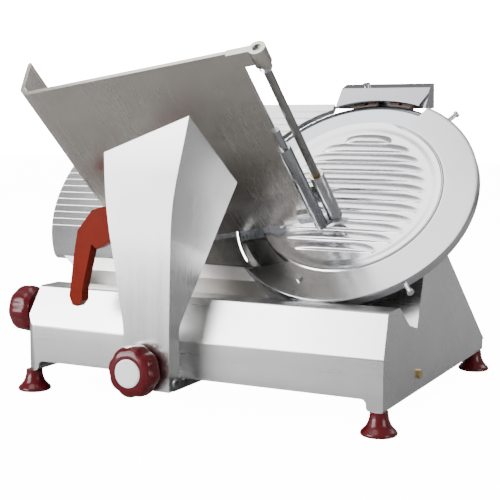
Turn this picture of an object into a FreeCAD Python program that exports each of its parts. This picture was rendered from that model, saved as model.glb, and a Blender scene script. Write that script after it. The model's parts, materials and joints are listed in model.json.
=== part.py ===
import FreeCAD, Part
import math
import os
import re
import Sketcher

# Gravity-feed deli meat slicer, millimetres, +Z up, +X to the operator's right, +Y away
# from the operator.  The origin is on the counter, under the middle of the overall box.
#
# Three frames place everything:
#   machine  x from the left end of the base, y from its front face, z from the counter
#   head     centred on the blade: x as above, y up along the blade, z out of its face
#   tray     the product table: x along its front edge, y down to the blade, z out of its top

doc = FreeCAD.newDocument("MeatSlicer")
V = FreeCAD.Vector

# ---------------------------------------------------------------- driving dimensions
DIMENSIONS = {
    # frame
    "OriginX": 246.5, "OriginY": 136.687,
    # blade head
    "HeadX": 384, "HeadY": 150, "HeadZ": 256, "Incline": 41.3,
    # base casting, front profile from the bottom edge to the back
    "BaseLength": 485, "BaseDepth": 411, "SkirtHeight": 40, "BendHeight": 85,
    "RidgeHeight": 136, "RidgeFront": 14, "RidgeBack": 51,
    "TroughMid": 87, "TroughMidHeight": 110, "TroughBack": 113, "DeckHeight": 103, "DeckBack": 328,
    "EndSlope": 16, "CastWall": 6, "EndWall": 8, "LeftEnd": 30, "LeftWall": 16,
    "RailWidth": 20, "RailHeight": 27, "BendRadius": 8, "RidgeRadius": 2.5, "TroughRadius": 14,
    "CornerRadius": 14, "LeftRailRadius": 7, "RightRailRadius": 5, "CoveRadius": 6,
    # tower behind the blade
    "TowerLeft": 250, "TowerFoot": 85, "TowerFront": 143, "TowerHeight": 189,
    "TowerBack": 227, "TowerBackHeight": 179.6,
    # belt drum on the front of the tower
    "DrumRadius": 100, "DrumBore": 94, "DrumFront": 18, "DrumBack": 62, "DrumFloor": 56,
    # carriage bay: rods and index shaft
    "BayBack": 104, "RodHeight": 60, "GuideY": 38, "GuideRadius": 9, "SupportY": 82, "SupportRadius": 7,
    "RodStart": 15, "RodLength": 465,
    "IndexY": 37, "IndexZ": 99.6, "IndexRadius": 6,
    # bottom cover and its screws
    "CoverFront": 105, "CoverBack": 407, "CoverThick": 3, "CoverGap": 0.5,
    "CoverScrewFront": 109, "CoverScrewBack": 401, "CoverScrewInset": 60, "CoverScrewRadius": 2,
    "CoverScrewDepth": 4, "CoverScrewHead": 4, "CoverScrewHeadHeight": 2.5,
    # feet
    "FootInset": 7, "FootFront": 8, "FootBack": 385, "FootRadius": 21, "FootNeck": 10.5,
    # switch panel
    "PanelFront": 148, "PanelWidth": 74, "PanelBottom": 50, "PanelHeight": 34, "PanelThick": 4,
    "StartY": 168, "StopY": 203, "SwitchZ": 67, "StemRadius": 5, "StemHole": 5.3, "StemLength": 16,
    "ButtonRadius": 9, "StopRadius": 11, "ButtonRise": 3.5, "ButtonThick": 4,
    # earth terminal on the right end
    "EarthY": 121, "EarthZ": 47, "EarthHead": 5.5, "EarthHeadHeight": 3, "EarthShank": 3, "EarthLength": 8,
    # gauge plate, apron, support and scroll
    "GaugeLeft": 432, "GaugeRight": 62.5, "GaugeBottom": 117, "GaugeTop": 148, "GaugeThick": 8,
    "GaugeArc": 200, "GaugeArcX": 232, "GaugeArcU": 5, "GaugeRimRadius": 151.8,
    "GrooveFirst": -70, "GroovePitch": 11.3, "GrooveWidth": 2, "GrooveDepth": 0.8,
    "ApronTop": 121, "ApronMid": 138, "ApronBottom": 154.4, "ApronBack": 7, "ApronLip": 3, "ApronFoot": 4,
    "ApronLeft": 375, "ApronFootLeft": 335, "ApronRight": 33, "ApronArc": 159,
    "SupportX": 346, "SupportThick": 5, "SupportTop": 20, "SupportShoulder": 114, "SupportEnd": 205,
    "SupportFace": 14, "SupportMid": 150, "SupportMidBack": 40, "SupportEndBack": 38,
    "SupportNeck": 100, "SupportNeckBack": 24, "SupportTopBack": 16,
    "StiffenerLength": 160, "StiffenerBottom": 104, "StiffenerWidth": 22, "StiffenerDepth": 10,
    "GuideBarX": 332, "GuideBarU": 172, "GuideBarRadius": 6, "GuideBarFront": 8, "GuideBarLength": 103,
    "GuideBossRadius": 10, "GuideBossFront": 18, "GuideBossLength": 30, "RunGap": 0.05,
    "SlotFront": 12, "SlotBack": 57, "SlotTop": 140, "SlotDepth": 30, "SlotSide": 1.5,
    "GaugeTravel": 13, "ScrollTurn": 300, "ScrollStart": 8, "ScrollRadius": 25.2, "ScrollThick": 5,
    "ScrollFace": 31, "ScrollGroove": 3, "FollowerRadius": 2.5, "FollowerGap": 0.3,
    # index knob
    "KnobRadius": 30.5, "IndexKnobLength": 34, "IndexKnobGap": 4,
    # blade and its drive
    "BladeRadius": 150, "BladeFace": 4.5, "BevelRadius": 142, "BladeBore": 20,
    "HubRadius": 40, "HubFace": 12, "HubBack": 16.5, "SpindleRadius": 8.45, "SpindleBack": 54,
    "SpindleBore": 5, "SpigotRadius": 19.95, "SpigotFace": 8,
    "BearingInner": 8.5, "BearingOuter": 17.5, "BearingWidth": 8, "BearingFront": 18, "BearingPitch": 9,
    "HousingFlange": 93.9, "HousingBack": 23, "BossRadius": 26, "BossBack": 36,
    "PulleyRadius": 48, "PulleyFront": 38, "PulleyWidth": 14,
    "MotorU": 76, "MotorPulleyRadius": 13, "BeltFront": 40, "BeltWidth": 10, "BeltThick": 2.5, "BeltGap": 0.3,
    "MotorRadius": 42, "MotorFront": 80, "MotorBack": 168, "StatorBore": 27, "MotorWall": 4,
    "RotorRadius": 26.5, "MotorShaft": 8, "MotorShaftFront": 36,
    "BracketLeft": 128, "BracketRight": 95, "BracketBottom": 112, "BracketTop": 42, "BracketThick": 4,
    # blade cover and guard ring
    "RingRadius": 157, "RingInner": 154, "DishRadius": 116, "CoverPlate": 3, "RingDepth": 12,
    "DishDepth": 1, "DishRim": 113, "RibFirst": 90.5, "RibPitch": 15.3, "RibCircle": 96,
    "RibHalfWidth": 6, "RibHeight": 2.2, "CoverBoss": 12, "CoverBossDepth": 7, "TieRadius": 4,
    "NotchX": 47.9, "NotchU": 109.3, "NotchFarX": 78, "NotchFarU": 161.3, "SlotX": 49.6, "SlotU": 104.7,
    "SlotFarX": 121.3, "SlotFarU": 126.7, "ClearSpan": 200,
    "TrimU": 153.2, "TrimW": 4.4,
    "PinX": -29.7, "PinU": -128, "PinRadius": 2.5, "PinHead": 4.2, "PinHeadHeight": 3.5,
    "StudRadius": 3, "StudLength": 12, "StudDepth": 6, "StudUpper": 52.5, "StudLower": -51,
    # tie rod knob behind the drum
    "TieFront": 4, "TieBack": 66, "TieKnobRadius": 16, "TieKnobLength": 18,
    # deflector behind the blade
    "DeflectorOuter": 146, "DeflectorBack": 17, "DeflectorThick": 2,
    "DeflectorStart": 125, "DeflectorSweep": 95,
    # sharpener
    "SharpenerLeft": 60, "SharpenerRight": 62, "SharpenerTop": 176, "SharpenerLow": 140,
    "RoofUp": 191.4, "RoofBack": 8.8, "SharpenerTail": 168, "TailBack": 31.4, "SharpenerWall": 3,
    "SharpenerArc": 155, "SharpenerScrewX": -28, "SharpenerScrewHead": 5,
    "SharpenerScrewShank": 2.5, "SharpenerCutX": 51, "SharpenerCutTop": 64,
    "StoneX": 24, "StoneU": 158, "StoneRadius": 16, "StoneFront": 11, "StoneThick": 9,
    "PinionRadius": 3, "StoneSpindleFront": 12.5, "StoneSpindleBack": 54, "CollarRadius": 6,
    "CollarThick": 2.8, "CollarGap": 0.2, "CapRadius": 9, "CapThick": 8,
    "PostHalf": 34, "PostTop": 172, "PostLow": 85, "PostFront": 42, "PostThick": 4,
    # carriage slider and foot
    "CarriageX": 212, "BlockHalf": 45, "BlockFront": 22, "BlockBack": 94, "BlockLow": 46, "BlockHigh": 75,
    "BlockMid": 71, "BlockCorner": 63,
    "GuideBush": 12, "SupportBush": 10, "BushLength": 20,
    "FootHalf": 22, "LugTop": 88, "LugFront": -41.5, "LugBack": -31, "TongueTop": 37, "TongueLow": 28,
    "TongueBack": 62, "PivotY": -35, "PivotZ": 42, "PivotRadius": 4,
    "StudX": 204.5, "StudZ": 57.5, "LockKnobRadius": 31, "LockKnobLength": 26, "LockKnobBack": 50,
    "CapDisc": 16.5, "LockRadius": 5, "LockSlotHalf": 5.3, "LockSlotDrop": 8,
    # carriage arm
    "ArmLeft": 181, "ArmRight": 243, "ArmFront": -48, "ArmBack": -25, "ArmLow": 33, "ArmBend": 106,
    "ArmWall": 5, "WaistHeight": 247, "WaistSlope": 27.3, "WaistLeft": 158, "WaistRight": 246.5,
    "WaistBackLeft": 166, "WaistBackRight": 271.7, "WaistDepth": 70,
    "SeatFrontLeftX": 53, "SeatFrontLeftY": 108, "SeatFrontRightX": 173, "SeatFrontRightY": 76,
    "SeatBackRightX": 185, "SeatBackRightY": 196, "SeatBackLeftX": 55, "SeatBackLeftY": 212,
    "SeatThick": 6, "SeatInset": 14, "WindowTop": 95,
    # product table
    "TrayX": -276.8, "TrayU": -105.1, "TrayW": 292.8, "TrayTilt": 13,
    "TrayLength": 257, "TrayDepth": 285, "TrayThick": 5, "FlangeHeight": 52,
    "TrayBend": 13,
    "RodT": 279, "RodN": 1, "EarStart": 245, "EarDepth": 20, "EarLow": -3, "EarHigh": 6, "EarBoss": 9.5,
    "ScrewRadius": 3, "ScrewDepth": 4, "ScrewHead": 6, "ScrewHeadHeight": 4,
    # pusher rod, bracket and pusher
    "PushRod": 4.75, "PushRodStart": 3, "PushRodEnd": 288, "EdgeTubeT": 262, "EdgeTubeN": -9.5,
    "EdgeTube": 7.8, "EdgeTubeStart": 140, "EdgeTip": 4.5, "EdgeTipStart": 111, "BracketFoot": 284,
    "BracketPlate": 4, "RodBoss": 8.5, "BracketTab": 235, "NutRadius": 7, "NutLength": 4,
    "BumperEnd": 32, "BumperRadius": 7.6,
    "SleeveStart": 204, "SleeveEnd": 279, "SleeveRadius": 8.7, "PushBushOuter": 6.5, "PushBushLength": 10,
    "SleeveWaist": 5.5, "BridgeStart": 232, "BridgeEnd": 262, "BridgeLow": 7.5, "BridgeHigh": 14,
    "BridgeLeft": 190, "PusherLeft": 76, "PusherRight": 205, "PusherHigh": 88,
    "PusherFace": 266, "PusherThick": 4, "ToothPitch": 12, "ToothRadius": 3, "ToothHeight": 6,
    "GripT": 140, "GripN": 52, "SleevePin": 2, "SleevePinF": 236, "SleevePinLength": 11,
    # carriage handle
    "HandleY": -44, "HandleThick": 14,
}

sheet = doc.addObject("Spreadsheet::Sheet", "Dims")
for row, (alias, number) in enumerate(DIMENSIONS.items(), start=1):
    sheet.set("A%d" % row, alias)
    sheet.set("B%d" % row, str(number))
    sheet.setAlias("B%d" % row, alias)
doc.recompute()


def cell(text):
    """Turn dimension names in a formula into references to the sheet."""
    return re.sub(r"\b([A-Z][A-Za-z]+)\b", r"Dims.\1", str(text))


def size(text):
    """The present value of a formula of dimension names."""
    if isinstance(text, (int, float)):
        return float(text)
    return float(sheet.evalExpression(cell(text)))


def bind(thing, path, text):
    """Drive one property from the sheet."""
    thing.setExpression(path, cell(text))


def at(x=0, y=0, z=0, axis=None, angle=0):
    """A placement whose coordinates are formulas of dimension names."""
    turn = FreeCAD.Rotation(axis, angle) if axis else FreeCAD.Rotation()
    return FreeCAD.Placement(V(size(x), size(y), size(z)), turn)


X_AXIS, Y_AXIS, Z_AXIS = V(1, 0, 0), V(0, 1, 0), V(0, 0, 1)
machine = at("-OriginX", "-OriginY")
head_in_machine = at("HeadX", "HeadY", "HeadZ", X_AXIS, 90 - size("Incline"))
head = machine * head_in_machine
tray_in_head = at("TrayX", "TrayU", "TrayW", Z_AXIS, size("TrayTilt")) * at(axis=X_AXIS, angle=-90)
tray = head * tray_in_head
ALONG_X = at(axis=Y_AXIS, angle=90)       # turns a part's own +Z to +X
TOWARDS_FRONT = at(axis=X_AXIS, angle=90)  # turns a part's own +Z to -Y
DOWN_TRAY = at(axis=X_AXIS, angle=-90)     # turns a part's own +Z to the tray's +Y

subparts = []


def keep(thing, label, place=None):
    """Name a finished sub-part, place it, and add it to the list that is written out."""
    thing.Label = label
    if place is not None:
        thing.Placement = place
    subparts.append(thing)
    return thing


# ---------------------------------------------------------------- sketches and features
def new_body(name):
    return doc.addObject("PartDesign::Body", name)


def sketch_on(body, role, lift=None):
    """A sketch on one of the body's own origin planes, lifted by a placement."""
    plane = next(f for f in body.Origin.OriginFeatures if f.Role == role)
    sketch = body.newObject("Sketcher::SketchObject", body.Name + "_sketch")
    sketch.AttachmentSupport = (plane, [""])
    sketch.MapMode = "FlatFace"
    if lift is not None:
        sketch.AttachmentOffset = lift
    return sketch


def dimension(sketch, kind, formula, geometry, point=None):
    """One driven dimension, measured from the sketch origin or along a radius."""
    if kind == "Radius":
        rule = Sketcher.Constraint(kind, geometry, size(formula))
    else:
        rule = Sketcher.Constraint(kind, -1, 1, geometry, point, size(formula))
    index = sketch.addConstraint(rule)
    bind(sketch, "Constraints[%d]" % index, formula)


def outline(sketch, corners):
    """A closed polygon whose corners are all driven from the sheet."""
    first = sketch.GeometryCount
    count = len(corners)
    places = [V(size(x), size(y), 0) for x, y in corners]
    for number in range(count):
        line = Part.LineSegment(places[number], places[(number + 1) % count])
        sketch.addGeometry(line, False)
    for number in range(count):
        following = first + (number + 1) % count
        sketch.addConstraint(Sketcher.Constraint("Coincident", first + number, 2, following, 1))
    for number, (x, y) in enumerate(corners):
        dimension(sketch, "DistanceX", x, first + number, 1)
        dimension(sketch, "DistanceY", y, first + number, 1)
    return sketch


def rectangle(sketch, left, low, right, high):
    return outline(sketch, [(left, low), (right, low), (right, high), (left, high)])


def corner(sketch, x, y, radius, across, upward):
    """The region between a square corner and the quarter circle that rounds or fills it."""
    reach = "%s + (%d) * (%s)"
    along = (reach % (x, across, radius), y)
    above = (x, reach % (y, upward, radius))
    middle = V(size(along[0]), size(above[1]), 0)
    tip, side, top = (V(size(a), size(b), 0) for a, b in ((x, y), along, above))
    first = sketch.addGeometry(Part.LineSegment(tip, side), False)
    ring = Part.Circle(middle, Z_AXIS, size(radius))
    start, end = (top, side) if across == upward else (side, top)
    begin = math.atan2(start.y - middle.y, start.x - middle.x)
    sketch.addGeometry(Part.ArcOfCircle(ring, begin, begin + math.pi / 2), False)
    sketch.addGeometry(Part.LineSegment(top, tip), False)
    side_end, top_end = (2, 1) if across == upward else (1, 2)
    sketch.addConstraint(Sketcher.Constraint("Coincident", first, 2, first + 1, side_end))
    sketch.addConstraint(Sketcher.Constraint("Coincident", first + 1, top_end, first + 2, 1))
    sketch.addConstraint(Sketcher.Constraint("Coincident", first + 2, 2, first, 1))
    for geometry, point, (a, b) in ((first, 1, (x, y)), (first, 2, along), (first + 2, 1, above)):
        dimension(sketch, "DistanceX", a, geometry, point)
        dimension(sketch, "DistanceY", b, geometry, point)
    dimension(sketch, "Radius", radius, first + 1)
    return sketch


def circle(sketch, x, y, radius):
    index = sketch.addGeometry(Part.Circle(V(size(x), size(y), 0), Z_AXIS, size(radius)), False)
    dimension(sketch, "DistanceX", x, index, 3)
    dimension(sketch, "DistanceY", y, index, 3)
    dimension(sketch, "Radius", radius, index)
    return sketch


def feature(body, kind, sketch, length, backwards=False):
    made = body.newObject("PartDesign::" + kind, body.Name + "_" + kind.lower())
    made.Profile = sketch
    made.Reversed = backwards
    bind(made, "Length", length)
    sketch.Visibility = False
    return made


def pad(body, sketch, length, backwards=False):
    return feature(body, "Pad", sketch, length, backwards)


def pocket(body, sketch, length, backwards=False):
    """A cut that must remove material: its direction is checked by volume."""
    doc.recompute()
    before = body.Shape.Volume
    made = feature(body, "Pocket", sketch, length, backwards)
    doc.recompute()
    if body.Shape.Volume > before - 1e-3:
        raise RuntimeError("%s: a pocket cuts nothing" % body.Name)
    return made


def revolve(body, corners):
    """Turn a profile of (radius, height) corners about the body's own Z axis."""
    sketch = outline(sketch_on(body, "XZ_Plane"), corners)
    made = body.newObject("PartDesign::Revolution", body.Name + "_revolution")
    made.Profile = sketch
    made.ReferenceAxis = (sketch, ["V_Axis"])
    made.Angle = 360
    return made


def loft(body, kind, first, second):
    made = body.newObject("PartDesign::" + kind, body.Name + "_loft")
    made.Profile = first
    made.Sections = [second]
    made.Ruled = True
    return made


def rounded(body, radius, wanted):
    """Round every edge of the body whose middle point passes the test."""
    doc.recompute()
    base = body.Tip
    names = []
    for number, edge in enumerate(base.Shape.Edges, start=1):
        middle = edge.valueAt((edge.FirstParameter + edge.LastParameter) / 2)
        if wanted(middle):
            names.append("Edge%d" % number)
    made = body.newObject("PartDesign::Fillet", body.Name + "_round")
    made.Base = (base, names)
    bind(made, "Radius", radius)
    doc.recompute()
    return made


def near(value, formula):
    return abs(value - size(formula)) < 0.05


def turned(label, corners, place):
    body = new_body(label)
    revolve(body, corners)
    return keep(body, label, place)


def cylinder(radius, height, place, sweep=None):
    made = doc.addObject("Part::Cylinder", "cylinder")
    bind(made, "Radius", radius)
    bind(made, "Height", height)
    if sweep is not None:
        bind(made, "Angle", sweep)
    made.Placement = place
    return made


def box(length, width, height, place):
    made = doc.addObject("Part::Box", "box")
    bind(made, "Length", length)
    bind(made, "Width", width)
    bind(made, "Height", height)
    made.Placement = place
    return made


def cut(base, tool):
    made = doc.addObject("Part::Cut", "cut")
    made.Base = base
    made.Tool = tool
    return made


def fuse(*things):
    made = doc.addObject("Part::MultiFuse", "fuse")
    made.Shapes = list(things)
    return made


def common(*things):
    made = doc.addObject("Part::MultiCommon", "common")
    made.Shapes = list(things)
    return made


def group(*things):
    made = doc.addObject("Part::Compound", "group")
    made.Links = list(things)
    return made


def tube(outer, inner, length, place):
    return cut(cylinder(outer, length, place), cylinder(inner, length, place))


def screw(head_radius, head_height, shank_radius, shank_length, place):
    """A headed screw: the head stands on the place's origin and the shank runs down -Z."""
    shank = cylinder(shank_radius, shank_length, place * at(z="-(%s)" % shank_length))
    return fuse(cylinder(head_radius, head_height, place), shank)


def knob(label, radius, length, place, lobes=8):
    """A moulded star knob: a crowned body with scallops cut round its rim."""
    body = new_body(label)
    revolve(body, [
        (0, 0), ("%s * 0.62" % radius, 0), (radius, "%s * 0.22" % length),
        (radius, "%s * 0.56" % length), ("%s * 0.86" % radius, "%s * 0.86" % length),
        ("%s * 0.68" % radius, length), (0, length),
    ])
    scallop = circle(sketch_on(body, "XY_Plane"), "%s * 1.13" % radius, 0, "%s * 0.24" % radius)
    grip = pocket(body, scallop, length, backwards=True)
    pattern = body.newObject("PartDesign::PolarPattern", label + "_lobes")
    pattern.Originals = [grip]
    pattern.Axis = (scallop, ["N_Axis"])
    pattern.Angle = 360
    pattern.Occurrences = lobes
    body.Tip = pattern
    return keep(body, label, place)


# ---------------------------------------------------------------- base
def base_housing():
    """Front ridge, trough, deck and tower in one casting, hollow from below."""
    body = new_body("base_housing")
    low_profile = [
        (0, "SkirtHeight"), (0, "BendHeight"), ("RidgeFront", "RidgeHeight"),
        ("RidgeBack", "RidgeHeight"), ("TroughMid", "TroughMidHeight"), ("TroughBack", "DeckHeight"),
        ("DeckBack", "DeckHeight"), ("BaseDepth", "SkirtHeight"),
    ]
    pad(body, outline(sketch_on(body, "YZ_Plane"), low_profile), "BaseLength")
    end_slope = outline(sketch_on(body, "XZ_Plane"), [
        (-1, "BendHeight"), (0, "BendHeight"), ("EndSlope", "RidgeHeight"),
        ("EndSlope", "RidgeHeight + 1"), (-1, "RidgeHeight + 1"),
    ])
    pocket(body, end_slope, "BaseDepth")
    rounded(body, "BendRadius", lambda p: near(p.y, 0) and near(p.z, "BendHeight"))
    rounded(body, "RidgeRadius", lambda p: near(p.z, "RidgeHeight") and (
        near(p.y, "RidgeFront") or near(p.y, "RidgeBack")))
    rounded(body, "TroughRadius", lambda p: near(p.y, "TroughMid") and near(p.z, "TroughMidHeight"))
    tower = [
        ("TroughBack", "TowerFoot"), ("TroughBack", "DeckHeight"), ("TowerFront", "TowerHeight"),
        ("TowerBack", "TowerBackHeight"), ("DeckBack", "DeckHeight"), ("DeckBack", "TowerFoot"),
    ]
    pad(body, outline(sketch_on(body, "YZ_Plane", at(z="TowerLeft")), tower), "BaseLength - TowerLeft")
    rail_height = "SkirtHeight + CastWall - RailHeight"
    for left in ("0", "BaseLength - RailWidth"):
        rail = sketch_on(body, "XY_Plane", at(z="RailHeight"))
        rectangle(rail, left, 0, left + " + RailWidth", "FootBack + 20")
        pad(body, rail, rail_height)
    front_left = corner(sketch_on(body, "XY_Plane"), 0, 0, "CornerRadius", 1, 1)
    pocket(body, front_left, "RidgeHeight + 1", backwards=True)
    for x, radius, across in ((0, "LeftRailRadius", 1), ("RailWidth", "LeftRailRadius", -1),
                              ("BaseLength - RailWidth", "RightRailRadius", 1)):
        pocket(body, corner(sketch_on(body, "XZ_Plane"), x, "RailHeight", radius, across, 1), "BaseDepth")
    for x, across in (("RailWidth", 1), ("BaseLength - RailWidth", -1)):
        cove = corner(sketch_on(body, "XZ_Plane"), x, "SkirtHeight", "CoveRadius", across, -1)
        pad(body, cove, "CastWall", backwards=True)
    drum_face = head_in_machine * at(z="-DrumFront")
    pad(body, circle(sketch_on(body, "XY_Plane", drum_face), 0, 0, "DrumRadius"),
        "DrumBack - DrumFront", backwards=True)

    bay = [
        ("CastWall", "SkirtHeight"), ("CastWall", "BendHeight - 1"),
        ("RidgeFront + CastWall - 1", "RidgeHeight - CastWall"),
        ("RidgeBack - 2.5", "RidgeHeight - CastWall"), ("TroughMid - 3", "TroughMidHeight - CastWall"),
        ("BayBack", "DeckHeight - CastWall"), ("BayBack", "SkirtHeight"),
    ]
    pocket(body, outline(sketch_on(body, "YZ_Plane", at(z="LeftEnd")), bay),
           "BaseLength - LeftEnd - EndWall", backwards=True)
    rear = [
        ("BayBack + EndWall", "SkirtHeight"), ("BayBack + EndWall", "DeckHeight - CastWall"),
        ("DeckBack - CastWall", "DeckHeight - CastWall"), ("BaseDepth - 14", "SkirtHeight"),
    ]
    pocket(body, outline(sketch_on(body, "YZ_Plane", at(z="LeftWall")), rear),
           "BaseLength - LeftWall - EndWall", backwards=True)
    inside = [
        ("TroughBack + 5", "DeckHeight - 10"), ("TroughBack + CastWall", "DeckHeight"),
        ("TowerFront + CastWall", "TowerHeight - CastWall"),
        ("TowerBack - 1", "TowerBackHeight - CastWall"), ("DeckBack - 9", "DeckHeight - 1"),
        ("DeckBack - 9", "DeckHeight - 10"),
    ]
    pocket(body, outline(sketch_on(body, "YZ_Plane", at(z="TowerLeft + CastWall")), inside),
           "BaseLength - TowerLeft - 2 * CastWall", backwards=True)
    pocket(body, circle(sketch_on(body, "XY_Plane", drum_face), 0, 0, "DrumBore"), "DrumFloor - DrumFront")
    pocket(body, circle(sketch_on(body, "XY_Plane", drum_face), 0, 0, "TieRadius + 0.6"),
           "DrumBack - DrumFront + 1")
    shaft_hole = circle(sketch_on(body, "XY_Plane", drum_face), 0, "-MotorU", "MotorShaft + 4")
    pocket(body, shaft_hole, "DrumBack - DrumFront + 1")

    slot_plane = head_in_machine * at(y="-SlotTop", axis=X_AXIS, angle=90)
    slot = sketch_on(body, "XY_Plane", slot_plane)
    rectangle(slot, "-SupportX - SlotSide", "-SlotBack", "-SupportX + SupportThick + SlotSide", "-SlotFront")
    pocket(body, slot, "SlotDepth", backwards=True)
    bar = sketch_on(body, "XY_Plane", head_in_machine * at(z="GuideBarFront"))
    pocket(body, circle(bar, "-GuideBarX", "-GuideBarU", "GuideBarRadius"), "GuideBarLength")

    rods = sketch_on(body, "YZ_Plane", at(z="RodStart"))
    circle(rods, "GuideY", "RodHeight", "GuideRadius")
    circle(rods, "SupportY", "RodHeight", "SupportRadius")
    pocket(body, rods, "RodLength", backwards=True)
    shaft = circle(sketch_on(body, "YZ_Plane"), "IndexY", "IndexZ", "IndexRadius + RunGap")
    pocket(body, shaft, "LeftEnd + 1", backwards=True)
    stems = sketch_on(body, "YZ_Plane")
    circle(stems, "StartY", "SwitchZ", "StemHole")
    circle(stems, "StopY", "SwitchZ", "StemHole")
    pocket(body, stems, "LeftWall + 1", backwards=True)
    earth = circle(sketch_on(body, "YZ_Plane", at(z="BaseLength")), "EarthY", "EarthZ", "EarthShank")
    pocket(body, earth, "EarthLength")
    threads = sketch_on(body, "XY_Plane", at(z="SkirtHeight"))
    for x in ("CoverScrewInset", "BaseLength - CoverScrewInset"):
        for y in ("CoverScrewFront", "CoverScrewBack"):
            circle(threads, x, y, "CoverScrewRadius")
    pocket(body, threads, "CoverScrewDepth", backwards=True)
    return keep(body, "base_housing", machine)


def bottom_cover():
    body = new_body("bottom_cover")
    plate = sketch_on(body, "XY_Plane", at(z="SkirtHeight"))
    rectangle(plate, "RailWidth + CoverGap", "CoverFront", "BaseLength - RailWidth - CoverGap", "CoverBack")
    pad(body, plate, "CoverThick", backwards=True)
    holes = sketch_on(body, "XY_Plane", at(z="SkirtHeight"))
    screws = []
    for x in ("CoverScrewInset", "BaseLength - CoverScrewInset"):
        for y in ("CoverScrewFront", "CoverScrewBack"):
            circle(holes, x, y, "CoverScrewRadius")
            head_face = machine * at(x, y, "SkirtHeight - CoverThick", X_AXIS, 180)
            screws.append(screw("CoverScrewHead", "CoverScrewHeadHeight", "CoverScrewRadius",
                                "CoverThick + CoverScrewDepth", head_face))
    pocket(body, holes, "CoverThick")
    keep(body, "bottom_cover", machine)
    keep(group(*screws), "bottom_screws")


def feet():
    """Four bell-shaped feet, each screwed up into an end rail."""
    body = new_body("feet")
    revolve(body, [
        (0, 0), ("FootRadius - 2", 0), ("FootRadius", 2), ("FootRadius - 1", 5),
        ("FootRadius * 0.66", 9), ("FootNeck + 0.6", 15), ("FootNeck", "RailHeight"), (0, "RailHeight"),
    ])
    turn = body.Tip
    grid = body.newObject("PartDesign::LinearPattern", "feet_grid")
    grid.Originals = [turn]
    plane = {f.Role: f for f in body.Origin.OriginFeatures}
    grid.Direction = (plane["X_Axis"], [""])
    grid.Occurrences = 2
    bind(grid, "Length", "BaseLength - 2 * FootInset")
    grid.Direction2 = (plane["Y_Axis"], [""])
    grid.Occurrences2 = 2
    bind(grid, "Length2", "FootBack - FootFront")
    body.Tip = grid
    keep(body, "feet", machine * at("FootInset", "FootFront"))


def bay_rods():
    keep(cylinder("GuideRadius", "RodLength", machine * at("RodStart", "GuideY", "RodHeight") * ALONG_X),
         "guide_rod")
    keep(cylinder("SupportRadius", "RodLength", machine * at("RodStart", "SupportY", "RodHeight") * ALONG_X),
         "support_rod")


def switch_parts():
    body = new_body("switch_panel")
    panel = sketch_on(body, "YZ_Plane")
    rectangle(panel, "PanelFront", "PanelBottom", "PanelFront + PanelWidth", "PanelBottom + PanelHeight")
    pad(body, panel, "PanelThick", backwards=True)
    holes = sketch_on(body, "YZ_Plane")
    circle(holes, "StartY", "SwitchZ", "StemHole")
    circle(holes, "StopY", "SwitchZ", "StemHole")
    pocket(body, holes, "PanelThick")
    keep(body, "switch_panel", machine)
    outer = "(ButtonRise + ButtonThick)"
    for label, y, radius in (("start_button", "StartY", "ButtonRadius"),
                             ("stop_button", "StopY", "StopRadius")):
        turned(label, [
            (0, 0), (radius + " - 1.5", 0), (radius, 1.5), (radius, "ButtonThick"),
            ("StemRadius", "ButtonThick"), ("StemRadius", outer + " + StemLength"),
            (0, outer + " + StemLength"),
        ], machine * at("-PanelThick - %s" % outer, y, "SwitchZ") * ALONG_X)


def earth_screw():
    face = machine * at("BaseLength", "EarthY", "EarthZ") * ALONG_X
    keep(screw("EarthHead", "EarthHeadHeight", "EarthShank", "EarthLength", face), "earth_screw")


def control_board():
    board = machine * at(80, 200, "SkirtHeight + 5")
    pieces = [box(110, 70, 2, board)]
    for x in (5, 97):
        for y in (5, 57):
            pieces.append(box(8, 8, 5.5, board * at(x, y, -5)))
    pieces.append(box(34, 24, 22, board * at(12, 30, 1)))
    pieces.append(box(26, 30, 14, board * at(60, 12, 1)))
    pieces.append(cylinder("FootNeck", 34, board * at(94, 44, 1)))
    keep(fuse(*pieces), "control_board")


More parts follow.
